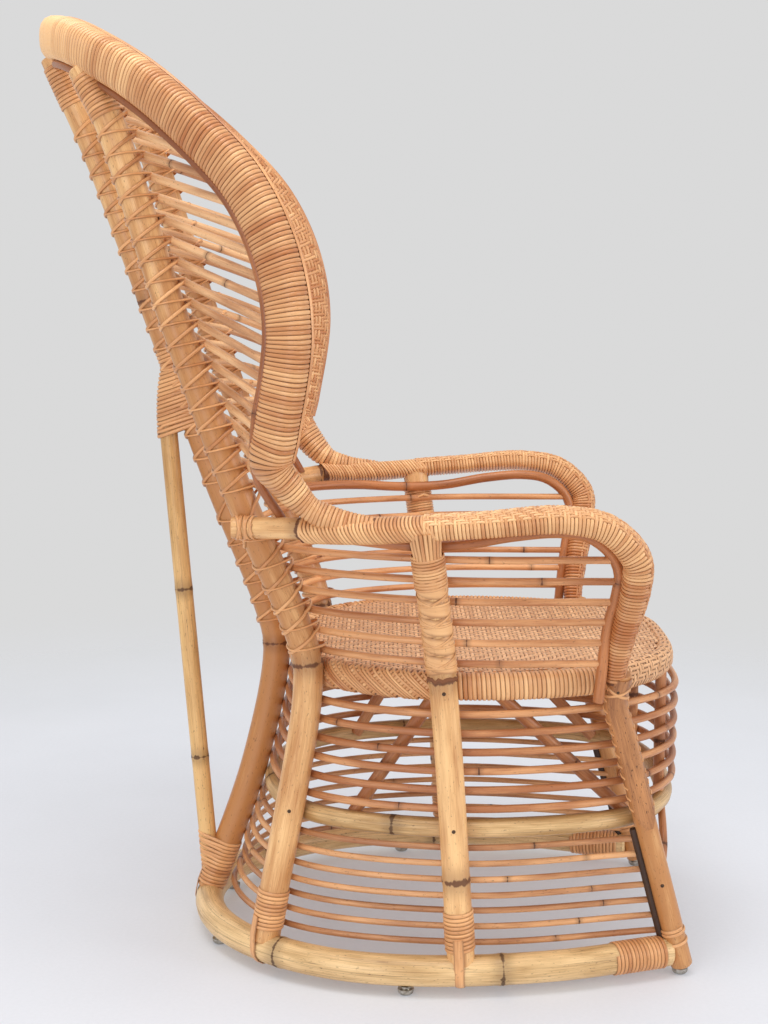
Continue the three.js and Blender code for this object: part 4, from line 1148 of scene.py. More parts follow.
rim_foot = [on_right(spot) for spot in RIM_FOOT]
rim_side = [*rim_foot, *rim_half[RIM_LOW_BENDS:]]
rim_roll = Bend([*rim_side, on_right(RIM_CROWN), *mirrored(rim_side)[::-1]])
foot_lengths = rim_roll.length_of(np.arange(len(RIM_FOOT_SCALES)) / rim_roll.spans)
to_end = lambda lengths: np.minimum(lengths, rim_roll.length - lengths)
rim_core = Core(
    rim_roll, RIM_DEPTH - 2 * WRAP_THICK, RIM_THICKNESS - 2 * WRAP_THICK, to_back_centre,
    scale=lambda lengths: np.interp(to_end(lengths), foot_lengths, RIM_FOOT_SCALES)[:, None],
)
bundle = Bundle()
plain = foot_lengths[RIM_PLAIN_SPANS]
turns = wind(
    bundle, rim_core, plain, rim_roll.length - plain, RIM_PITCH, RIM_STOPS,
    RIM_WOVEN_AT, RIM_STRANDS, RIM_STRAND_PITCH,
    painted_light=lambda lengths: np.interp(rim_roll.length / 2 - to_end(lengths), *CROWN_PAINTED_LIGHT),
)
for first, last in (
    (0, plain + RIM_SEAM),
    (rim_roll.length - plain - RIM_SEAM, rim_roll.length),
):
    turns += wind(bundle, rim_core, first, last, RIM_PITCH, PLAIN_STOPS)
settle(bundle.piece("rim_winding"), wound_cane, "wrap", "back_rim")
bundle = Bundle()
lengths = np.arange(foot_lengths[-1], rim_roll.length - foot_lengths[-1], RIM_EDGE_STEP)
for way in (-RIM_EDGE_OFF, RIM_EDGE_OFF):
    ways = np.full(len(lengths), RIM_WOVEN_AT * rim_core.oval.round + way)
    spots, out = rim_core.surface(lengths, ways)
    tone = drifting(len(lengths), *RIM_EDGE_TONE)
    bundle.strip(spots + out * RIM_EDGE_LIFT, out, RIM_EDGE_WIDTH, RIM_EDGE_THICK, tone)
settle(bundle.piece("rim_edge_canes"), brown_cane, "wrap")
bundle = Bundle()
bundle.rings(rim_core.rings(0, rim_roll.length, CORE_STEP))
settle(bundle.piece("rim_core"), core_wood, "wrap")
print("rim:", turns, "turns")

# %% [markdown]
# ## Arms
# Each arm starts as a bare stub beside the side stile. Behind the post its turns lean, and in front of the
# post a herringbone runs along the top. The roll is thick where it bends down and thin towards the leg, so
# its core changes in size along the way and sinks towards the cane that lies under it.

# %% Wind the arms
ARM_PITCH = 4.9
ARM_STRANDS, ARM_STRAND_PITCH = 9, 4.8
ARM_WOVEN_AT = {"right": 0.46, "left": 0.54}  # the top, as a share of the way round from the arm panel
ARM_STUB_SHOWN, ARM_STUB_OVERLAP, ARM_STUB_KNOT = 20, 20, 5  # mm before, under and beside the first turn
ARM_SEAM = 15  # mm that the two windings overlap under the tongue
ARM_LEAN = -0.45  # of the turns behind the post
ARM_END = 35  # mm of the leg that stand in the arm, bare of turns
ARM_DEPTHS = (  # mm from the leg, size
    (0, 40, 100, 180, 240, 330, 420, 520, 620),
    (0.62, 0.68, 0.86, 1.02, 1.02, 0.8, 0.7, 0.72, 0.8),
)
ARM_WIDTHS = (0, 100, 190), (0.68, 0.85, 1.0)
# painted shade and light: the turns are darker where the arm bends down to the leg and lighter along its top
ARM_PAINTED_LIGHT = (140, 320), (-1.3, 0.5)  # mm from the leg, tones
ARM_SINK = (0, 60, 150, 240, 340, 520, 620), (3, 6, 4, 2, -2.5, -2.5, 0)  # mm from the leg, mm inward
ARM_PLAIN_STOPS, ARM_STOPS, ARM_CORE_STEP = 20, 15, 10
ARM_STUB_STEP, ARM_STUB_BEVELS = 8, 5


def to_arm_panel(side):
    panel = on_right(ARM_PANEL_CENTRE) * (1 if side == "right" else -1, 1, 1)
    return lambda centres: np.tile(panel, (len(centres), 1))


def from_leg(table):
    """Values that change along the arm, from a table by the distance to the leg."""
    return lambda lengths: np.interp(arm.length - lengths, *table)


wrap_start = arm.length_of(where_on(arm, lambda point: point[1] - (shift - ARM_WRAP_START), 0, 0.3))
wrap_start += ARM_STUB_SHOWN
post_y = shift - POST_TOP_FORWARD
post_on_arm = arm.length_of(where_on(arm, lambda point: point[1] - post_y, 0, ARM_TURN))
arm_depth, arm_width = from_leg(ARM_DEPTHS), from_leg(ARM_WIDTHS)
leaning = lambda lengths: np.full_like(lengths, ARM_LEAN)
for side in SIDES:
    bend = on_side(side, arm)
    core = Core(
        bend, ARM_TALL - 2 * WRAP_THICK, ARM_WIDE - 2 * WRAP_THICK, to_arm_panel(side),
        scale=lambda lengths: np.c_[arm_depth(lengths), arm_width(lengths)],
        sink=from_leg(ARM_SINK),
    )
    bundle = Bundle()
    turns = wind(
        bundle, core, wrap_start, post_on_arm + ARM_SEAM, ARM_PITCH, ARM_PLAIN_STOPS,
        slant=leaning, painted_light=from_leg(ARM_PAINTED_LIGHT),
    )
    turns += wind(
        bundle, core, post_on_arm, arm.length - ARM_END, ARM_PITCH, ARM_STOPS,
        ARM_WOVEN_AT[side], ARM_STRANDS, ARM_STRAND_PITCH, painted_light=from_leg(ARM_PAINTED_LIGHT),
    )
    settle(bundle.piece(f"{side}_arm_winding"), wound_cane, "wrap", f"{side}_arm")
    bundle = Bundle()
    bundle.rings(core.rings(wrap_start, arm.length - ARM_END, ARM_CORE_STEP))
    settle(bundle.piece(f"{side}_arm_core"), core_wood, "wrap")
    knots = (wrap_start - ARM_STUB_KNOT,)
    stub = bent_pole(
        f"{side}_arm_stub", bend, ARM_STUB_RADIUS, ARM_STUB_STEP, knots, ARM_STUB_BEVELS,
        last=wrap_start + ARM_STUB_OVERLAP,
    )
    settle(stub, golden_pole, "pole")
print("arm:", turns, "turns")

# %% [markdown]
# ## Seat edge
# Between leg and post the turns stand upright. Round the back, two layers lean against each other like a
# braid, the upper one in groups of four turns. Along the front the weave of the seat rolls over the edge.

# %% Wind the seat edge
SEAT_PITCH, SEAT_SQUARENESS = 6.1, 0.85
SEAT_LEG_SHARE, SEAT_POST_SHARE = 0.2, 0.3  # of the edge, from the middle of the front
SEAT_WOVEN_AT, SEAT_EDGE_STRANDS, SEAT_EDGE_STRAND_PITCH = 0.36, 7, 5.6
SEAT_STOPS, SEAT_FRONT_STOPS, BRAID_STOPS = 18, 10, 24
BRAID_PITCH, BRAID_LEAN, BRAID_TURN = 7.6, 1.15, 70.0  # the lean turns over within some mm of the rear
BRAID_LIFT, BRAID_FILL, BRAID_UNDER_FILL = 1.3, 0.74, 1.1
BRAID_WAVER, BRAID_BUNCH = 0.4, 1.9

below = lambda centres: centres - (0, 0, 1)
core = Core(seat_line, SEAT_TALL - 2 * WRAP_THICK, SEAT_WIDE - 2 * WRAP_THICK, below, SEAT_SQUARENESS)
whole = seat_line.length
leg_on_seat, post_on_seat = seat_line.length_of(SEAT_LEG_SHARE), seat_line.length_of(SEAT_POST_SHARE)
to_rear = lambda lengths: BRAID_LEAN * np.tanh((whole / 2 - lengths) / BRAID_TURN)
bundle = Bundle()
turns = [
    wind(bundle, core, leg_on_seat, post_on_seat, SEAT_PITCH, SEAT_STOPS),
    wind(bundle, core, whole - post_on_seat, whole - leg_on_seat, SEAT_PITCH, SEAT_STOPS),
    wind(
        bundle, core, post_on_seat, whole - post_on_seat, BRAID_PITCH, BRAID_STOPS,
        slant=lambda lengths: -to_rear(lengths), fill=BRAID_UNDER_FILL,
    ),
    wind(
        bundle, core, post_on_seat, whole - post_on_seat, BRAID_PITCH, BRAID_STOPS,
        waver=BRAID_WAVER, slant=to_rear, lift=BRAID_LIFT, fill=BRAID_FILL, bunch=BRAID_BUNCH,
    ),
]
settle(bundle.piece("seat_edge_winding"), wound_cane, "wrap", "seat_hoop")
bundle = Bundle()
turns.append(wind(
    bundle, core, whole - leg_on_seat, whole + leg_on_seat, SEAT_PITCH, SEAT_FRONT_STOPS,
    SEAT_WOVEN_AT, SEAT_EDGE_STRANDS, SEAT_EDGE_STRAND_PITCH,
))
settle(bundle.piece("seat_front_winding"), woven_cane, "weave", "seat_hoop")
bundle = Bundle()
bundle.rings(core.rings(0, whole - 1, CORE_STEP))
settle(bundle.piece("seat_edge_core"), core_wood, "wrap")
print("seat edge:", turns, "turns")

# %% [markdown]
# ## Seat weave
# The seat is a sheet of split cane woven over two and under two, so that it shows small steps in a zigzag.
# Strands in both ways are strips that rise and dip at each crossing, cut at the outline of the seat.

# %% Weave the seat
SEAT_STRAND_PITCH = 6.3
SEAT_STRAND_WIDTH, SEAT_STRAND_THICK = 6.1, 1.5
SEAT_WEAVE_RISE = 2.0
SEAT_WEAVE_HEIGHT = 437.5  # of the lower strands' underside
SEAT_TUCK = 8.0  # inward of the axis of the seat edge
SEAT_ZIGZAG = 8  # strands in one slope of the zigzag
SEAT_TONE = 0.8  # spread from strand to strand
OUTLINE_STEPS = 400

outline_lengths = np.linspace(0, seat_line.length, OUTLINE_STEPS, endpoint=False)
centre, _, third = frames_on(seat_line, outline_lengths, below)
middle = at(0, SKIRT_CENTRE_FORWARD, SEAT_MIDDLE)
third *= np.sign(np.sum(third * (middle - centre), axis=1))[:, None]
outline = (centre + third * SEAT_TUCK)[:, :2]


def span_of(axis, value):
    """Where a line across the seat enters and leaves its outline."""
    after = np.roll(outline, -1, axis=0)
    low, high = outline[:, axis] - value, after[:, axis] - value
    hit = low * high < 0
    share = (low / (low - high))[hit]
    places = outline[hit, 1 - axis] + share * (after - outline)[hit, 1 - axis]
    return (places.min(), places.max()) if len(places) > 1 else None


def seat_over(long_strand, cross_strand):
    """True where a long strand lies over a cross strand."""
    slope = np.abs(np.mod(long_strand, 2 * SEAT_ZIGZAG) - SEAT_ZIGZAG)
    return np.mod(cross_strand + slope, 4) < 2


def stops_on(axis):
    """Where the strands lie, side by side over the whole seat."""
    low, high = outline[:, axis].min(), outline[:, axis].max()
    count = int((high - low) / SEAT_STRAND_PITCH)
    return np.linspace(low + SEAT_STRAND_PITCH / 2, high - SEAT_STRAND_PITCH / 2, count)


grid = (stops_on(0), stops_on(1))
for axis, label in ((0, "long"), (1, "cross")):
    bundle = Bundle()
    for number, value in enumerate(grid[axis]):
        span = span_of(axis, value)
        if span is None:
            continue
        others = grid[1 - axis]
        within = (others > span[0]) & (others < span[1])
        crossing = np.arange(len(others))[within]
        if len(crossing) < 2:
            continue
        over = seat_over(number, crossing) if axis == 0 else ~seat_over(crossing, number)
        spots = np.empty((len(crossing), 3))
        spots[:, axis], spots[:, 1 - axis] = value, others[within]
        spots[:, 2] = SEAT_WEAVE_HEIGHT + np.where(over, SEAT_WEAVE_RISE, 0.0)
        out = np.tile((0.0, 0.0, 1.0), (len(spots), 1))
        tone = rng.normal(0, SEAT_TONE)
        bundle.strip(spots, out, SEAT_STRAND_WIDTH, SEAT_STRAND_THICK, tone)
    settle(bundle.piece(f"seat_{label}_strands"), woven_cane, "weave", "seat_panel")
print("seat strands:", len(grid[0]), "by", len(grid[1]))

# %% [markdown]
# ## Bindings
# Where a pole stands on the base hoop, or the prop meets the centre stile, a strip of cane is wound tightly
# round the joint. The strip follows the tight line round one pole or two, as a string would. Its end hangs
# down over the hoop and is tucked in under it.

# %% Bind the joints
BINDING_WIDTH, BINDING_THICK, BINDING_PITCH, BINDING_LIFT = 5.5, 1.6, 5.6, 0.4
BINDING_STEPS = 24  # in one turn
BINDING_TONE, STRAP_TONE, TURNS_TONE = 0.5, 0.4, 0.6  # spreads
STRAP_WIDTH, STRAP_THICK, STRAP_LIFT = 14.0, 1.8, 1.2 * BINDING_THICK  # it lies on the binding
STRAP_ANGLES = np.radians([14, 0, -20, -45, -70, -95])  # round the hoop, from its outer side down
STRAP_HEIGHTS = (84, 70, 58)
POST_BINDING = (64, 9.8)  # lowest height, turns
PROP_FOOT_BINDING = (52, 13.0)
PROP_TOP_BINDING = (748, 21.0)
PROP_TUCK = 850  # height where the prop's line would enter the stile
HOOP_BINDING = (12, 13.6)  # from the end of the hoop
LEG_LOOPS = ((47, 0.9), (62, 1.4))  # height, turns
PLANE_REACH = 3.0  # mm, a pole counts where it crosses the turn's plane
AXIS_STEPS = 400


def bind(
    bundle, poles, lengths, angles,
    thick=BINDING_THICK, width=BINDING_WIDTH, lift=BINDING_LIFT, tone=None,
):
    """A strip round poles: lengths along the first one, angles round it."""
    lead = poles[0][0]
    shares = lead.share_of(lengths)
    centre, along = lead.at(shares), lead.along(shares)
    first = unit(np.array([1.0, 0, 0]) - along * along[:, :1])
    second = np.cross(along, first)
    out = first * np.cos(angles)[:, None] + second * np.sin(angles)[:, None]
    lift = np.broadcast_to(lift, len(centre))[:, None]
    best, spots = np.full(len(centre), -np.inf), centre
    for bend, radius in poles:
        axis, crosses = centre, True
        if bend is not lead:
            line = bend.at(np.linspace(0, 1, AXIS_STEPS))
            off_plane = np.abs(np.sum((line[None] - centre[:, None]) * along[:, None], axis=2))
            axis = line[np.argmin(off_plane, axis=1)]
            crosses = off_plane.min(axis=1) < PLANE_REACH
        reach = np.where(crosses, np.sum((axis - centre) * out, axis=1) + radius, -np.inf)
        spots = np.where((reach > best)[:, None], axis + out * (radius + lift), spots)
        best = np.maximum(reach, best)
    tone = rng.normal(0, BINDING_TONE) if tone is None else tone
    bundle.strip(spots, out, width, thick, tone)


def round_angles(row):
    """Angles of a row of steps, a whole turn in BINDING_STEPS of them."""
    return row * 2 * math.pi / BINDING_STEPS


def bind_turns(
    bundle, poles, first, turns,
    pitch=BINDING_PITCH, width=BINDING_WIDTH, lift=BINDING_LIFT, start=0.0,
):
    """Turns that lie side by side, from a length along the first pole."""
    row = np.arange(int(turns * BINDING_STEPS) + 1)
    tone = drifting(len(row), BINDING_STEPS, TURNS_TONE)
    lengths = first + row / BINDING_STEPS * pitch
    bind(bundle, poles, lengths, start + round_angles(row), width=width, lift=lift, tone=tone)


def strap(bundle, bend, radius):
    """The end of a binding, down the outer side of a pole and round the hoop."""
    foot = bend.at(0)
    outward = unit((foot - at(0, SKIRT_CENTRE_FORWARD, foot[2])) * (1, 1, 0))
    spots, outs = [], []
    for height in STRAP_HEIGHTS:
        spots.append(at_height(bend, height) + outward * (radius + STRAP_LIFT))
        outs.append(outward)
    line = base_hoop.at(base_hoop.shares)
    hoop = line[np.argmin(np.linalg.norm((line - foot)[:, :2], axis=1))]
    for angle in STRAP_ANGLES:
        out = outward * math.cos(angle) + np.array([0, 0, math.sin(angle)])
        spots.append(hoop + out * (BASE_RADIUS + BINDING_LIFT))
        outs.append(out)
    tone = rng.normal(0, STRAP_TONE)
    bundle.strip(np.array(spots), np.array(outs), STRAP_WIDTH, STRAP_THICK, tone)


for side in SIDES:
    for label, bend, radius in (
        ("side_post", post, POST_RADIUS),
        ("side_stile", side_stile, SIDE_STILE_RADIUS),
    ):
        bundle = Bundle()
        line = on_side(side, bend)
        level, turns = POST_BINDING
        bind_turns(bundle, [(line, radius)], at_level(bend, level), turns)
        strap(bundle, line, radius)
        piece = bundle.piece(f"{side}_{label}_foot_binding")
        settle(piece, strap_cane, "wrap", f"{side}_{label}_binding")
    bundle = Bundle()
    bind_turns(bundle, [(on_side(side, base_hoop), BASE_RADIUS)], *HOOP_BINDING)
    for level, turns in LEG_LOOPS:
        poles = [(on_side(side, slim_leg), SLIM_LEG_RADIUS)]
        bind_turns(bundle, poles, at_level(leg, level), turns, start=math.pi / 2)
    settle(bundle.piece(f"{side}_hoop_end_binding"), strap_cane, "wrap", f"{side}_base_hoop_binding")
tucked_prop = Bend([prop.at(0), at_height(prop, PROP_HIDDEN), at_height(centre_stile, PROP_TUCK)])
pair = [(centre_stile, CENTRE_STILE_RADIUS), (tucked_prop, PROP_RADIUS)]
for label, (level, turns) in (("prop_foot", PROP_FOOT_BINDING), ("prop_top", PROP_TOP_BINDING)):
    bundle = Bundle()
    bind_turns(bundle, pair, at_level(centre_stile, level), turns)
    if label == "prop_foot":
        strap(bundle, centre_stile, CENTRE_STILE_RADIUS)
    settle(bundle.piece(f"{label}_winding"), strap_cane, "wrap", f"{label}_binding")
print("turns of the longest binding:", PROP_TOP_BINDING[1])

# %% [markdown]
# ## Post heads
# Some turns of the arm are drawn straight down over the head of each side post and held by a few fine turns
# and a crossed strip. Under them lies a sheath of wide leaf, wound both ways, which ends in a torn ring of
# dark bark.

# %% Dress the post heads
TONGUE_STRIPS, TONGUE_WIDTH, TONGUE_SPREAD = 9, 4.8, 0.24  # radians from strip to strip
TONGUE_LEVELS, TONGUE_LIFT = (650, 636, 624, 614, 606), (4.6, 4.2, 2.8, 1.2, 0.8)
HEAD_TURNS, HEAD_LIFT = (566, 10.4, 4.3, 4.2), 1.9  # height, turns, pitch, width
CROSS_LEVELS, CROSS_CLIMB, CROSS_WIDTH, CROSS_THICK, CROSS_LIFT = (604, 560), 22.0, 4.0, 1.2, 1.2
SHEATH_LEVELS, SHEATH_CLIMB, SHEATH_WIDTH, SHEATH_THICK = (575, 452), 26.0, 22.0, 1.1
SHEATH_LIFTS = ((1, 0.2), (-1, 0.9))  # hand of the turn, mm off the post
SPIRAL_WAVER = 0.0  # mm that a crossed strip lies off its place
TORN_RING = (443, 1.1, 6.5, 1.8)  # height, turns, width, thickness
TORN_WAVER, TORN_TONE, TORN_LIFT = 1.9, 0.8, 0.2


def spiral(bundle, bend, radius, levels, climb, width, thick, way, lift):
    """A strip down a pole, in turns that climb by a set height. way is 1 or -1, the hand of the turn."""
    high, low = (at_level(bend, level) for level in levels)
    rows = int(abs(high - low) / climb * BINDING_STEPS) + 2
    lengths = np.linspace(low, high, rows) + rng.normal(0, SPIRAL_WAVER, rows)
    angles = way * np.linspace(0, (high - low) / climb * 2 * math.pi, rows)
    bind(bundle, [(bend, radius)], lengths, angles, thick, width, lift)


for side in SIDES:
    bend = on_side(side, post)
    poles = [(bend, POST_RADIUS)]
    outward = math.pi if side == "right" else 0.0
    tongue = Bundle()
    lengths = np.array([at_level(bend, level) for level in TONGUE_LEVELS])
    for number in range(TONGUE_STRIPS):
        angle = outward + (number - (TONGUE_STRIPS - 1) / 2) * TONGUE_SPREAD
        angles = np.full(len(lengths), angle)
        bind(tongue, poles, lengths, angles, WRAP_THICK, TONGUE_WIDTH, np.array(TONGUE_LIFT))
    level, turns, pitch, width = HEAD_TURNS
    bind_turns(tongue, poles, at_level(bend, level), turns, pitch, width, HEAD_LIFT)
    for way in (1, -1):
        spiral(
            tongue, bend, POST_RADIUS, CROSS_LEVELS, CROSS_CLIMB, CROSS_WIDTH, CROSS_THICK, way, CROSS_LIFT,
        )
    settle(tongue.piece(f"{side}_post_head_winding"), wound_cane, "wrap")
    sheath = Bundle()
    for way, lift in SHEATH_LIFTS:
        spiral(
            sheath, bend, POST_RADIUS, SHEATH_LEVELS, SHEATH_CLIMB, SHEATH_WIDTH, SHEATH_THICK, way, lift,
        )
    settle(sheath.piece(f"{side}_post_sheath"), leaf_sheath, "wrap")
    torn = Bundle()
    level, turns, width, thick = TORN_RING
    row = np.arange(int(turns * BINDING_STEPS))
    lengths = at_level(bend, level) + rng.normal(0, TORN_WAVER, len(row))
    bind(torn, poles, lengths, round_angles(row), thick, width, TORN_LIFT, TORN_TONE)
    settle(torn.piece(f"{side}_post_bark_ring"), core_wood, "wrap")
print("strips over each post head:", TONGUE_STRIPS)

# %% [markdown]
# ## Lashings
# Every rib and back cane is lashed to the stiles by two thin strips that climb each stile in opposite
# turns, one turn for each cane. From outside they show as a bold slanted strip and a flatter one that
# crosses it. In front, both rise over the cane. Tight turns under the rim close the head of each stile. The
# back canes are lashed to the posts in the same way, and the stub of each arm is bound crosswise.

# %% Lash the stiles, the posts and the stubs
LASH_WIDTH, LASH_THICK, LASH_OFF = 5.6, 2.6, 0.3
LASH_THIN = 0.65  # width of the flatter strip
LASH_STEPS = 28  # in one turn
LASH_BOLD, LASH_FLAT = 0.85, 0.28  # share of a turn's climb on the outer side, for each strip
LASH_LIFT, LASH_SLOPE = 2 * RIB_RADIUS + RIB_CLEARANCE, 0.8  # mm over a cane, power of the slope up to it
LASH_LIFT_ANGLE = math.radians(62)  # from the cane, where the strip leaves the pole
LASH_TONE = (60, 0.6)  # steps in a run, spread
STILE_HEAD = (52, 11.0)  # mm below the rim cane, turns
POST_LASH_LIFT, POST_LASH_WIDTH, POST_LASH_THICK = 1.5, 4.0, 0.9  # over the sheath
STUB_LASH, STUB_LASH_TURNS = (4, 36), 2.6  # mm along the stub of the arm


def lash(bundle, bend, radius, crossings, outer, share, width, lift_by=LASH_LIFT, thick=LASH_THICK):
    """A strip down a pole, with one turn from each cane to the next. outer is 1 or -1, the way round."""
    crossings = sorted(crossings, key=lambda crossing: -crossing[0])
    marks = np.array([length for length, _ in crossings])
    ways = np.array([way for _, way in crossings])
    row = np.arange((len(marks) - 1) * LASH_STEPS + 1)
    turn, step = row // LASH_STEPS, (row % LASH_STEPS) / LASH_STEPS
    upper = marks[np.minimum(turn, len(marks) - 1)]
    lower = marks[np.minimum(turn + 1, len(marks) - 1)]
    fall = np.where(step < 0.5, step * 2 * share, share + (step - 0.5) * 2 * (1 - share))
    shares = bend.share_of(upper + (lower - upper) * fall)
    centre, along = bend.at(shares), bend.along(shares)
    place = row / LASH_STEPS
    front = np.stack([np.interp(place, np.arange(len(marks)), ways[:, i]) for i in range(3)], axis=1)
    front = unit(front - along * np.sum(front * along, axis=1, keepdims=True))
    beside = np.cross(along, front)
    angle = step * 2 * math.pi
    out = front * np.cos(angle)[:, None] + beside * np.sin(angle)[:, None] * outer
    off_front = np.minimum(angle, 2 * math.pi - angle)
    lift = np.clip(1 - off_front / LASH_LIFT_ANGLE, 0, 1) ** LASH_SLOPE * lift_by
    spots = centre + out * (radius + LASH_OFF + lift)[:, None]
    bundle.strip(spots, out, width, thick, drifting(len(row), *LASH_TONE))


def mirrored_marks(crossings):
    return [(length, mirrored(way)) for length, way in crossings]


for label, bend, pole, radius, crossings in (
    ("right_stile", side_stile, side_stile_pole, SIDE_STILE_RADIUS, side_crossings),
    ("left_stile", side_stile, side_stile_pole, SIDE_STILE_RADIUS, side_crossings),
    ("centre_stile", centre_stile, centre_stile_pole, CENTRE_STILE_RADIUS, centre_crossings),
):
    outer = -1
    below_rim, turns = STILE_HEAD
    if label == "left_stile":
        outer, bend, pole, crossings = 1, bend.mirror(), pole.mirror(), mirrored_marks(crossings)
    bundle = Bundle()
    lash(bundle, bend, radius, crossings, outer, LASH_BOLD, LASH_WIDTH)
    lash(bundle, bend, radius, crossings, -outer, 1 - LASH_FLAT, LASH_WIDTH * LASH_THIN)
    bind_turns(bundle, [(pole, radius)], bend.length - below_rim, turns)
    settle(bundle.piece(f"{label}_lashing"), strap_cane, "wrap")
for side in SIDES:
    marks = post_crossings if side == "right" else mirrored_marks(post_crossings)
    bundle = Bundle()
    for outer in (1, -1):
        lash(
            bundle, on_side(side, post), POST_RADIUS + POST_LASH_LIFT, marks, outer, LASH_BOLD,
            POST_LASH_WIDTH, 2 * BACK_CANE_RADIUS, POST_LASH_THICK,
        )
    settle(bundle.piece(f"{side}_post_lashing"), leaf_sheath, "wrap")
    bundle = Bundle()
    row = np.arange(int(STUB_LASH_TURNS * BINDING_STEPS) + 1)
    lengths = np.linspace(*STUB_LASH, len(row))
    for way in (1, -1):
        bind(bundle, [(on_side(side, arm), ARM_STUB_RADIUS)], lengths, way * round_angles(row))
    settle(bundle.piece(f"{side}_stub_lashing"), strap_cane, "wrap")
print("lashed crossings:", 2 * len(side_crossings) + len(centre_crossings) + 2 * len(post_crossings))

# %% [markdown]
# ## Leg facings
# A half-round of dark bark covers the nails of the upper canes on each front leg and is stitched along both
# edges. Its lower end is cut to a ragged point. Two crossed strips tie it to the arm, and a batten behind
# the leg, painted nearly black as painted shade on the leg's rear side, fills out the width of the slimmed
# leg.

# %% Face the legs
FACING_LEVELS, FACING_STOPS, FACING_POINT = (219, 437), 40, 26  # heights, rows, mm of the pointed end
FACING_HALF_ANGLE, FACING_TIP_ANGLE = math.radians(72), math.radians(12)
FACING_RAGGED = math.radians(3)
FACING_LIFT, FACING_THICK, FACING_SIDES = 0.3, 1.8, 12
STITCHES, STITCH_WIDTH, STITCH_THICK, STITCH_CLIMB, STITCH_TONE = 13, 3.4, 1.4, 6.0, 0.5
STITCH_OFF = np.radians([-16, 2, 22])  # from the facing's edge
STITCH_LIFT = (2.2, 2.0, 0.3)
ARM_END_CROSS, ARM_END_CLIMB = (440, 394), 46.0
ARM_END_WIDTH, ARM_END_THICK, ARM_END_LIFT = 4.6, 1.4, 2.3
BATTEN_RADIUS, BATTEN_LEVELS, BATTEN_BACK = 5.5, (50, 214), (1, 16.5, 0)
FACING_WAY = (-1.0, -0.2, 0)


def half_round(bend, radius, levels, outward):
    """Rings of a half-round shell on a pole, ragged at its edges and pointed at its lower end."""
    low, high = (at_level(bend, level) for level in levels)
    lengths = np.linspace(low, high, FACING_STOPS)
    shares = bend.share_of(lengths)
    centre, along = bend.at(shares), bend.along(shares)
    out = unit(outward - along * np.sum(outward * along, axis=1, keepdims=True))
    beside = np.cross(along, out)
    half = np.interp(lengths - low, (0, FACING_POINT), (FACING_TIP_ANGLE, FACING_HALF_ANGLE))
    ends = half[:, None] * (-1, 1) + rng.normal(0, FACING_RAGGED, (FACING_STOPS, 2))
    sweep = np.linspace(0, 1, FACING_SIDES)
    angles = ends[:, :1] + (ends[:, 1:] - ends[:, :1]) * sweep
    angles = np.concatenate([angles, angles[:, ::-1]], axis=1)
    reach = radius + FACING_LIFT + np.repeat([FACING_THICK, 0.0], FACING_SIDES)
    flat = np.stack([reach * np.cos(angles), reach * np.sin(angles)], axis=-1)
    rings = centre[:, None] + out[:, None] * flat[..., :1] + beside[:, None] * flat[..., 1:]
    down_grain = np.broadcast_to(lengths[:, None, None], (*angles.shape, 1))
    return rings, np.concatenate([flat, down_grain], axis=2)


right_batten = Bend([at_height(leg, level) + BATTEN_BACK for level in BATTEN_LEVELS])
for side in SIDES:
    line = on_side(side, slim_leg)
    outward = np.array(FACING_WAY) if side == "right" else mirrored(FACING_WAY)
    bundle = Bundle()
    middle_angle = math.atan2(outward[1], outward[0])
    for level in np.linspace(*FACING_LEVELS, STITCHES + 2)[2:-1]:  # none at the point or at the top
        for edge in (1, -1):
            lengths = at_level(line, level) + np.linspace(-0.5, 0.5, len(STITCH_OFF)) * STITCH_CLIMB
            angles = middle_angle + edge * (FACING_HALF_ANGLE + STITCH_OFF)
            bind(
                bundle, [(line, SLIM_LEG_RADIUS)], lengths, angles,
                STITCH_THICK, STITCH_WIDTH, np.array(STITCH_LIFT), STITCH_TONE,
            )
    for way in (1, -1):
        spiral(
            bundle, line, SLIM_LEG_RADIUS, ARM_END_CROSS, ARM_END_CLIMB,
            ARM_END_WIDTH, ARM_END_THICK, way, ARM_END_LIFT,
        )
    settle(bundle.piece(f"{side}_leg_lashing"), strap_cane, "wrap")
    bundle = Bundle()
    bundle.rings(*half_round(line, SLIM_LEG_RADIUS, FACING_LEVELS, outward))
    settle(bundle.piece(f"{side}_leg_facing"), bark_facing, "pole")
    batten = on_side(side, right_batten)
    piece = bent_pole(f"{side}_leg_batten", batten, BATTEN_RADIUS, POLE_STEP, (), CANE_BEVELS)
    settle(piece, batten_painted_shade, "pole")
print("stitches on each edge of a facing:", STITCHES - 1)

# %% [markdown]
# ## Glides
# Six small nickel domes keep the cane off the floor. One is modelled from a cylinder: its lower edge is
# bevelled into a dome, and a neck is inset and extruded up into the pole. The others are copies of its mesh.

# %% Model the glides
GLIDE_RADIUS, GLIDE_BODY, GLIDE_SIDES = 0.011, 0.0085, 32
GLIDE_BEVEL, GLIDE_BEVEL_STEPS, GLIDE_NECK_INSET = 0.006, 5, 0.0035
STRAIGHT = 0.9  # least share of a normal that counts as straight up or down
SCUFF_SQUEEZE, TARNISH_SCALE, TARNISH_EDGE = (900.0, 900.0, 260.0), 140.0, (0.35, 0.7)
GLIDE_NODES = [f"{side}_{place}_glide" for side in SIDES for place in ("front", "side", "rear")]


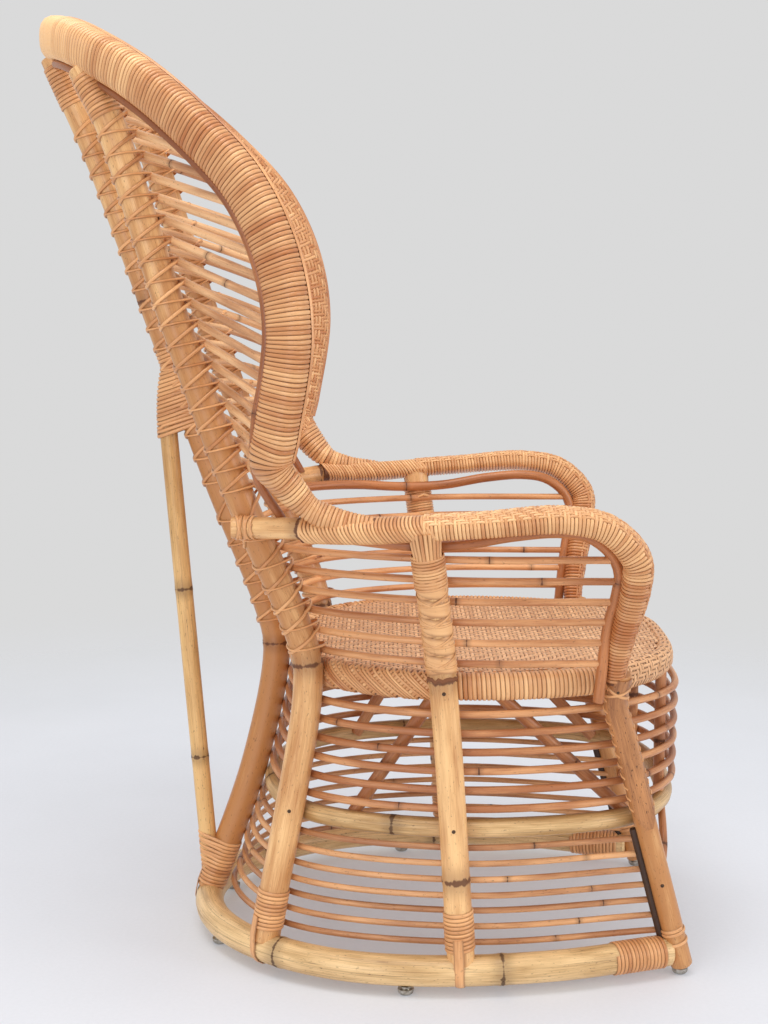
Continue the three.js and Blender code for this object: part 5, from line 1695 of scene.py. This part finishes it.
def nickel_finish():
    material, wire = bare_material("brushed_nickel")
    place = wire.node("ShaderNodeTexCoord", out="Object")
    scuff = place.times(SCUFF_SQUEEZE).noise(1.0, 3.0, 0.6)
    tarnish = place.noise(TARNISH_SCALE, 2.0, 0.5)
    colour = tarnish.between(*TARNISH_EDGE).blend(paint(196, 192, 184), paint(150, 142, 130))
    sockets = {"Base Color": colour, "Metallic": 1.0, "Roughness": 0.26 + scuff * 0.2}
    close_material(wire, wire.node("ShaderNodeBsdfPrincipled", {}, sockets))
    return material


def pick_faces(piece, upward):
    """Select the faces that look straight up, or straight down."""
    bpy.ops.object.mode_set(mode="EDIT")
    bpy.ops.mesh.select_all(action="DESELECT")
    bpy.ops.object.mode_set(mode="OBJECT")
    for face in piece.data.polygons:
        face.select = face.normal.z * upward > STRAIGHT
    bpy.ops.object.mode_set(mode="EDIT")


def copy_to(pattern, name, place):
    """A copy with its own mesh, whose points are moved to the place."""
    twin = bpy.data.objects.new(name, pattern.data.copy())
    bpy.context.scene.collection.objects.link(twin)
    bpy.ops.object.select_all(action="DESELECT")
    bpy.context.view_layer.objects.active = twin
    twin.select_set(True)
    twin.location = place
    bpy.ops.object.transform_apply(location=True)
    return twin


nickel = nickel_finish()
neck_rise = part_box(GLIDE_NODES[0])[1].z - GLIDE_BODY
bpy.ops.object.select_all(action="DESELECT")
bpy.ops.mesh.primitive_cylinder_add(
    vertices=GLIDE_SIDES, radius=GLIDE_RADIUS, depth=GLIDE_BODY, location=(0, 0, GLIDE_BODY / 2)
)
dome = bpy.context.object
bpy.ops.object.transform_apply(location=True)
pick_faces(dome, -1)
bpy.ops.mesh.bevel(offset=GLIDE_BEVEL, segments=GLIDE_BEVEL_STEPS, affect="EDGES")
pick_faces(dome, 1)
bpy.ops.mesh.inset(thickness=GLIDE_NECK_INSET)
bpy.ops.mesh.extrude_region_move(TRANSFORM_OT_translate={"value": (0, 0, neck_rise)})
bpy.ops.object.mode_set(mode="OBJECT")
clean(dome)
for node in GLIDE_NODES:
    low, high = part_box(node)
    twin = copy_to(dome, f"{node}_dome", ((low.x + high.x) / 2, (low.y + high.y) / 2, 0))
    settle(twin, nickel, "nickel", node)
bpy.data.objects.remove(dome)
print("glides:", len(GLIDE_NODES))

# %% [markdown]
# ## Nails
# The hoops are nailed to the posts and the arms to the legs. One head is a small flattened ball, and the
# others are copies of it.

# %% Drive the nails
NAIL_RADIUS, NAIL_HEIGHT, NAIL_SIDES, NAIL_RINGS = 0.0026, 0.0014, 16, 8
RUST_SCALE, RUST_EDGE = 900.0, (0.35, 0.7)
NAILS = (  # name, pole, its radius, heights of the nails
    ("post", post, POST_RADIUS, (235, 424)),
    ("stile", side_stile, SIDE_STILE_RADIUS, (236,)),
    ("leg", slim_leg, SLIM_LEG_RADIUS, (136, 416)),
)

nail_iron, wire = bare_material("dark_iron")
rust = wire.node("ShaderNodeTexCoord", out="Object").noise(RUST_SCALE, 2.0, 0.6)
colour = rust.between(*RUST_EDGE).blend(paint(62, 50, 42), paint(104, 76, 54))
sockets = {"Base Color": colour, "Metallic": 0.6, "Roughness": 0.35 + rust * 0.3}
close_material(wire, wire.node("ShaderNodeBsdfPrincipled", {}, sockets))
bpy.ops.mesh.primitive_uv_sphere_add(segments=NAIL_SIDES, ring_count=NAIL_RINGS, radius=NAIL_RADIUS)
nail_head = bpy.context.object
bpy.ops.object.mode_set(mode="EDIT")
bpy.ops.mesh.select_all(action="SELECT")
bpy.ops.transform.resize(value=(NAIL_HEIGHT / NAIL_RADIUS, 1, 1))
bpy.ops.object.mode_set(mode="OBJECT")
clean(nail_head)
for side, sign in zip(SIDES, (1, -1)):
    for label, bend, radius, levels in NAILS:
        for number, level in enumerate(levels, 1):
            on_facing = bend is slim_leg and level > FACING_LEVELS[0]
            reach = radius + (FACING_LIFT + FACING_THICK if on_facing else 0)
            spot = (at_height(bend, level) - (reach, 0, 0)) * (sign, 1, 1)
            twin = copy_to(nail_head, f"{side}_{label}_nail_{number}", spot * MM)
            settle(twin, nail_iron, "nickel")
bpy.data.objects.remove(nail_head)
print("nails:", 2 * sum(len(levels) for _, _, _, levels in NAILS))

# %% [markdown]
# ## Floor
# The chair stands on a pale sheet in an even pale room. A wall behind it would hide the chair from the other
# side, so there is none: the sheet is a wide plane that fades out some way off, and the room's own grey
# shows there, from every side. The sheet glows a little, so that the shadows on it stay pale without more
# light on the chair.

# %% Roll out the floor
FLOOR_SIZE = 14.0
FLOOR_FADE = (0.9, 2.6)  # metres from the middle
FLOOR_GLOW = 0.3  # light of its own
CLOUD_SCALE, CLOUD_SHARE, THREAD_SCALE, THREAD_SHARE = 1.1, 0.7, 160.0, 0.25
FLOOR_RELIEF = {"Strength": 0.1, "Distance": 0.001}

bpy.ops.object.select_all(action="DESELECT")
bpy.ops.mesh.primitive_plane_add(size=FLOOR_SIZE)
floor = bpy.context.object
floor.name = "floor_sheet"
material, wire = bare_material("grey_sheet")
place = wire.node("ShaderNodeTexCoord", out="Object")
cloud = place.noise(CLOUD_SCALE, 4.0, 0.6)
thread = place.noise(THREAD_SCALE, 2.0, 0.6)
shade = (0.5 + (cloud - 0.5) * CLOUD_SHARE + (thread - 0.5) * THREAD_SHARE).between(0.0, 1.0)
colour = shade.blend(paint(195, 197, 202), paint(210, 212, 218))
bump = wire.node("ShaderNodeBump", {}, {"Height": thread} | FLOOR_RELIEF)
sockets = {"Base Color": colour, "Roughness": 0.9, "Normal": bump}
sockets |= {"Emission Color": colour, "Emission Strength": FLOOR_GLOW}
sheet = wire.node("ShaderNodeBsdfPrincipled", {}, sockets)
away = wire.node("ShaderNodeVectorMath", {"operation": "LENGTH"}, {0: place}, "Value")
clear = wire.node("ShaderNodeBsdfTransparent")
fading = wire.node("ShaderNodeMixShader", {}, {0: away.between(*FLOOR_FADE), 1: sheet, 2: clear})
close_material(wire, fading)
floor.data.materials.append(material)
print("floor:", FLOOR_SIZE, "metres")

# %% [markdown]
# ## Light
# A large soft light hangs above the chair, a little towards its back, and two weaker ones stand low on the
# camera's side, at the front and at the rear. An even grey world fills the shadows, so that a colour renders
# about as it is written. The lamps themselves are kept out of every picture.

# %% Hang the lights
WORLD_STRENGTH = 0.7
LIGHTS = {  # place, aim, size, watts
    "top_light": ((-0.7, 0.3, 3.2), (0, 0.1, 0.5), 2.0, 41.0),
    "side_light": ((-1.6, -2.9, 1.2), (0, 0, 0.4), 1.4, 25.0),
    "fill_light": ((-3.3, 1.5, 0.9), (0, 0.1, 0.4), 1.8, 25.0),
}

world = bpy.data.worlds.new("soft_room")
bpy.context.scene.world = world
world.use_nodes = True
ground = world.node_tree.nodes["Background"]
ground.inputs["Color"].default_value = (1, 1, 1, 1)
ground.inputs["Strength"].default_value = WORLD_STRENGTH
for name, (place, aim, size, watts) in LIGHTS.items():
    bpy.ops.object.light_add(type="AREA", location=place)
    lamp = bpy.context.object
    lamp.name = name
    lamp.data.shape = "DISK"
    lamp.data.size = size
    lamp.data.energy = watts
    lamp.visible_camera = False
    away = np.array(place) - np.array(aim)
    tilt = math.acos(away[2] / np.linalg.norm(away))
    lamp.rotation_euler = (tilt, 0, math.atan2(away[1], away[0]) + math.pi / 2)
bpy.context.scene.view_settings.view_transform = "Standard"
print("lights:", len(LIGHTS))

# %% [markdown]
# ## Close
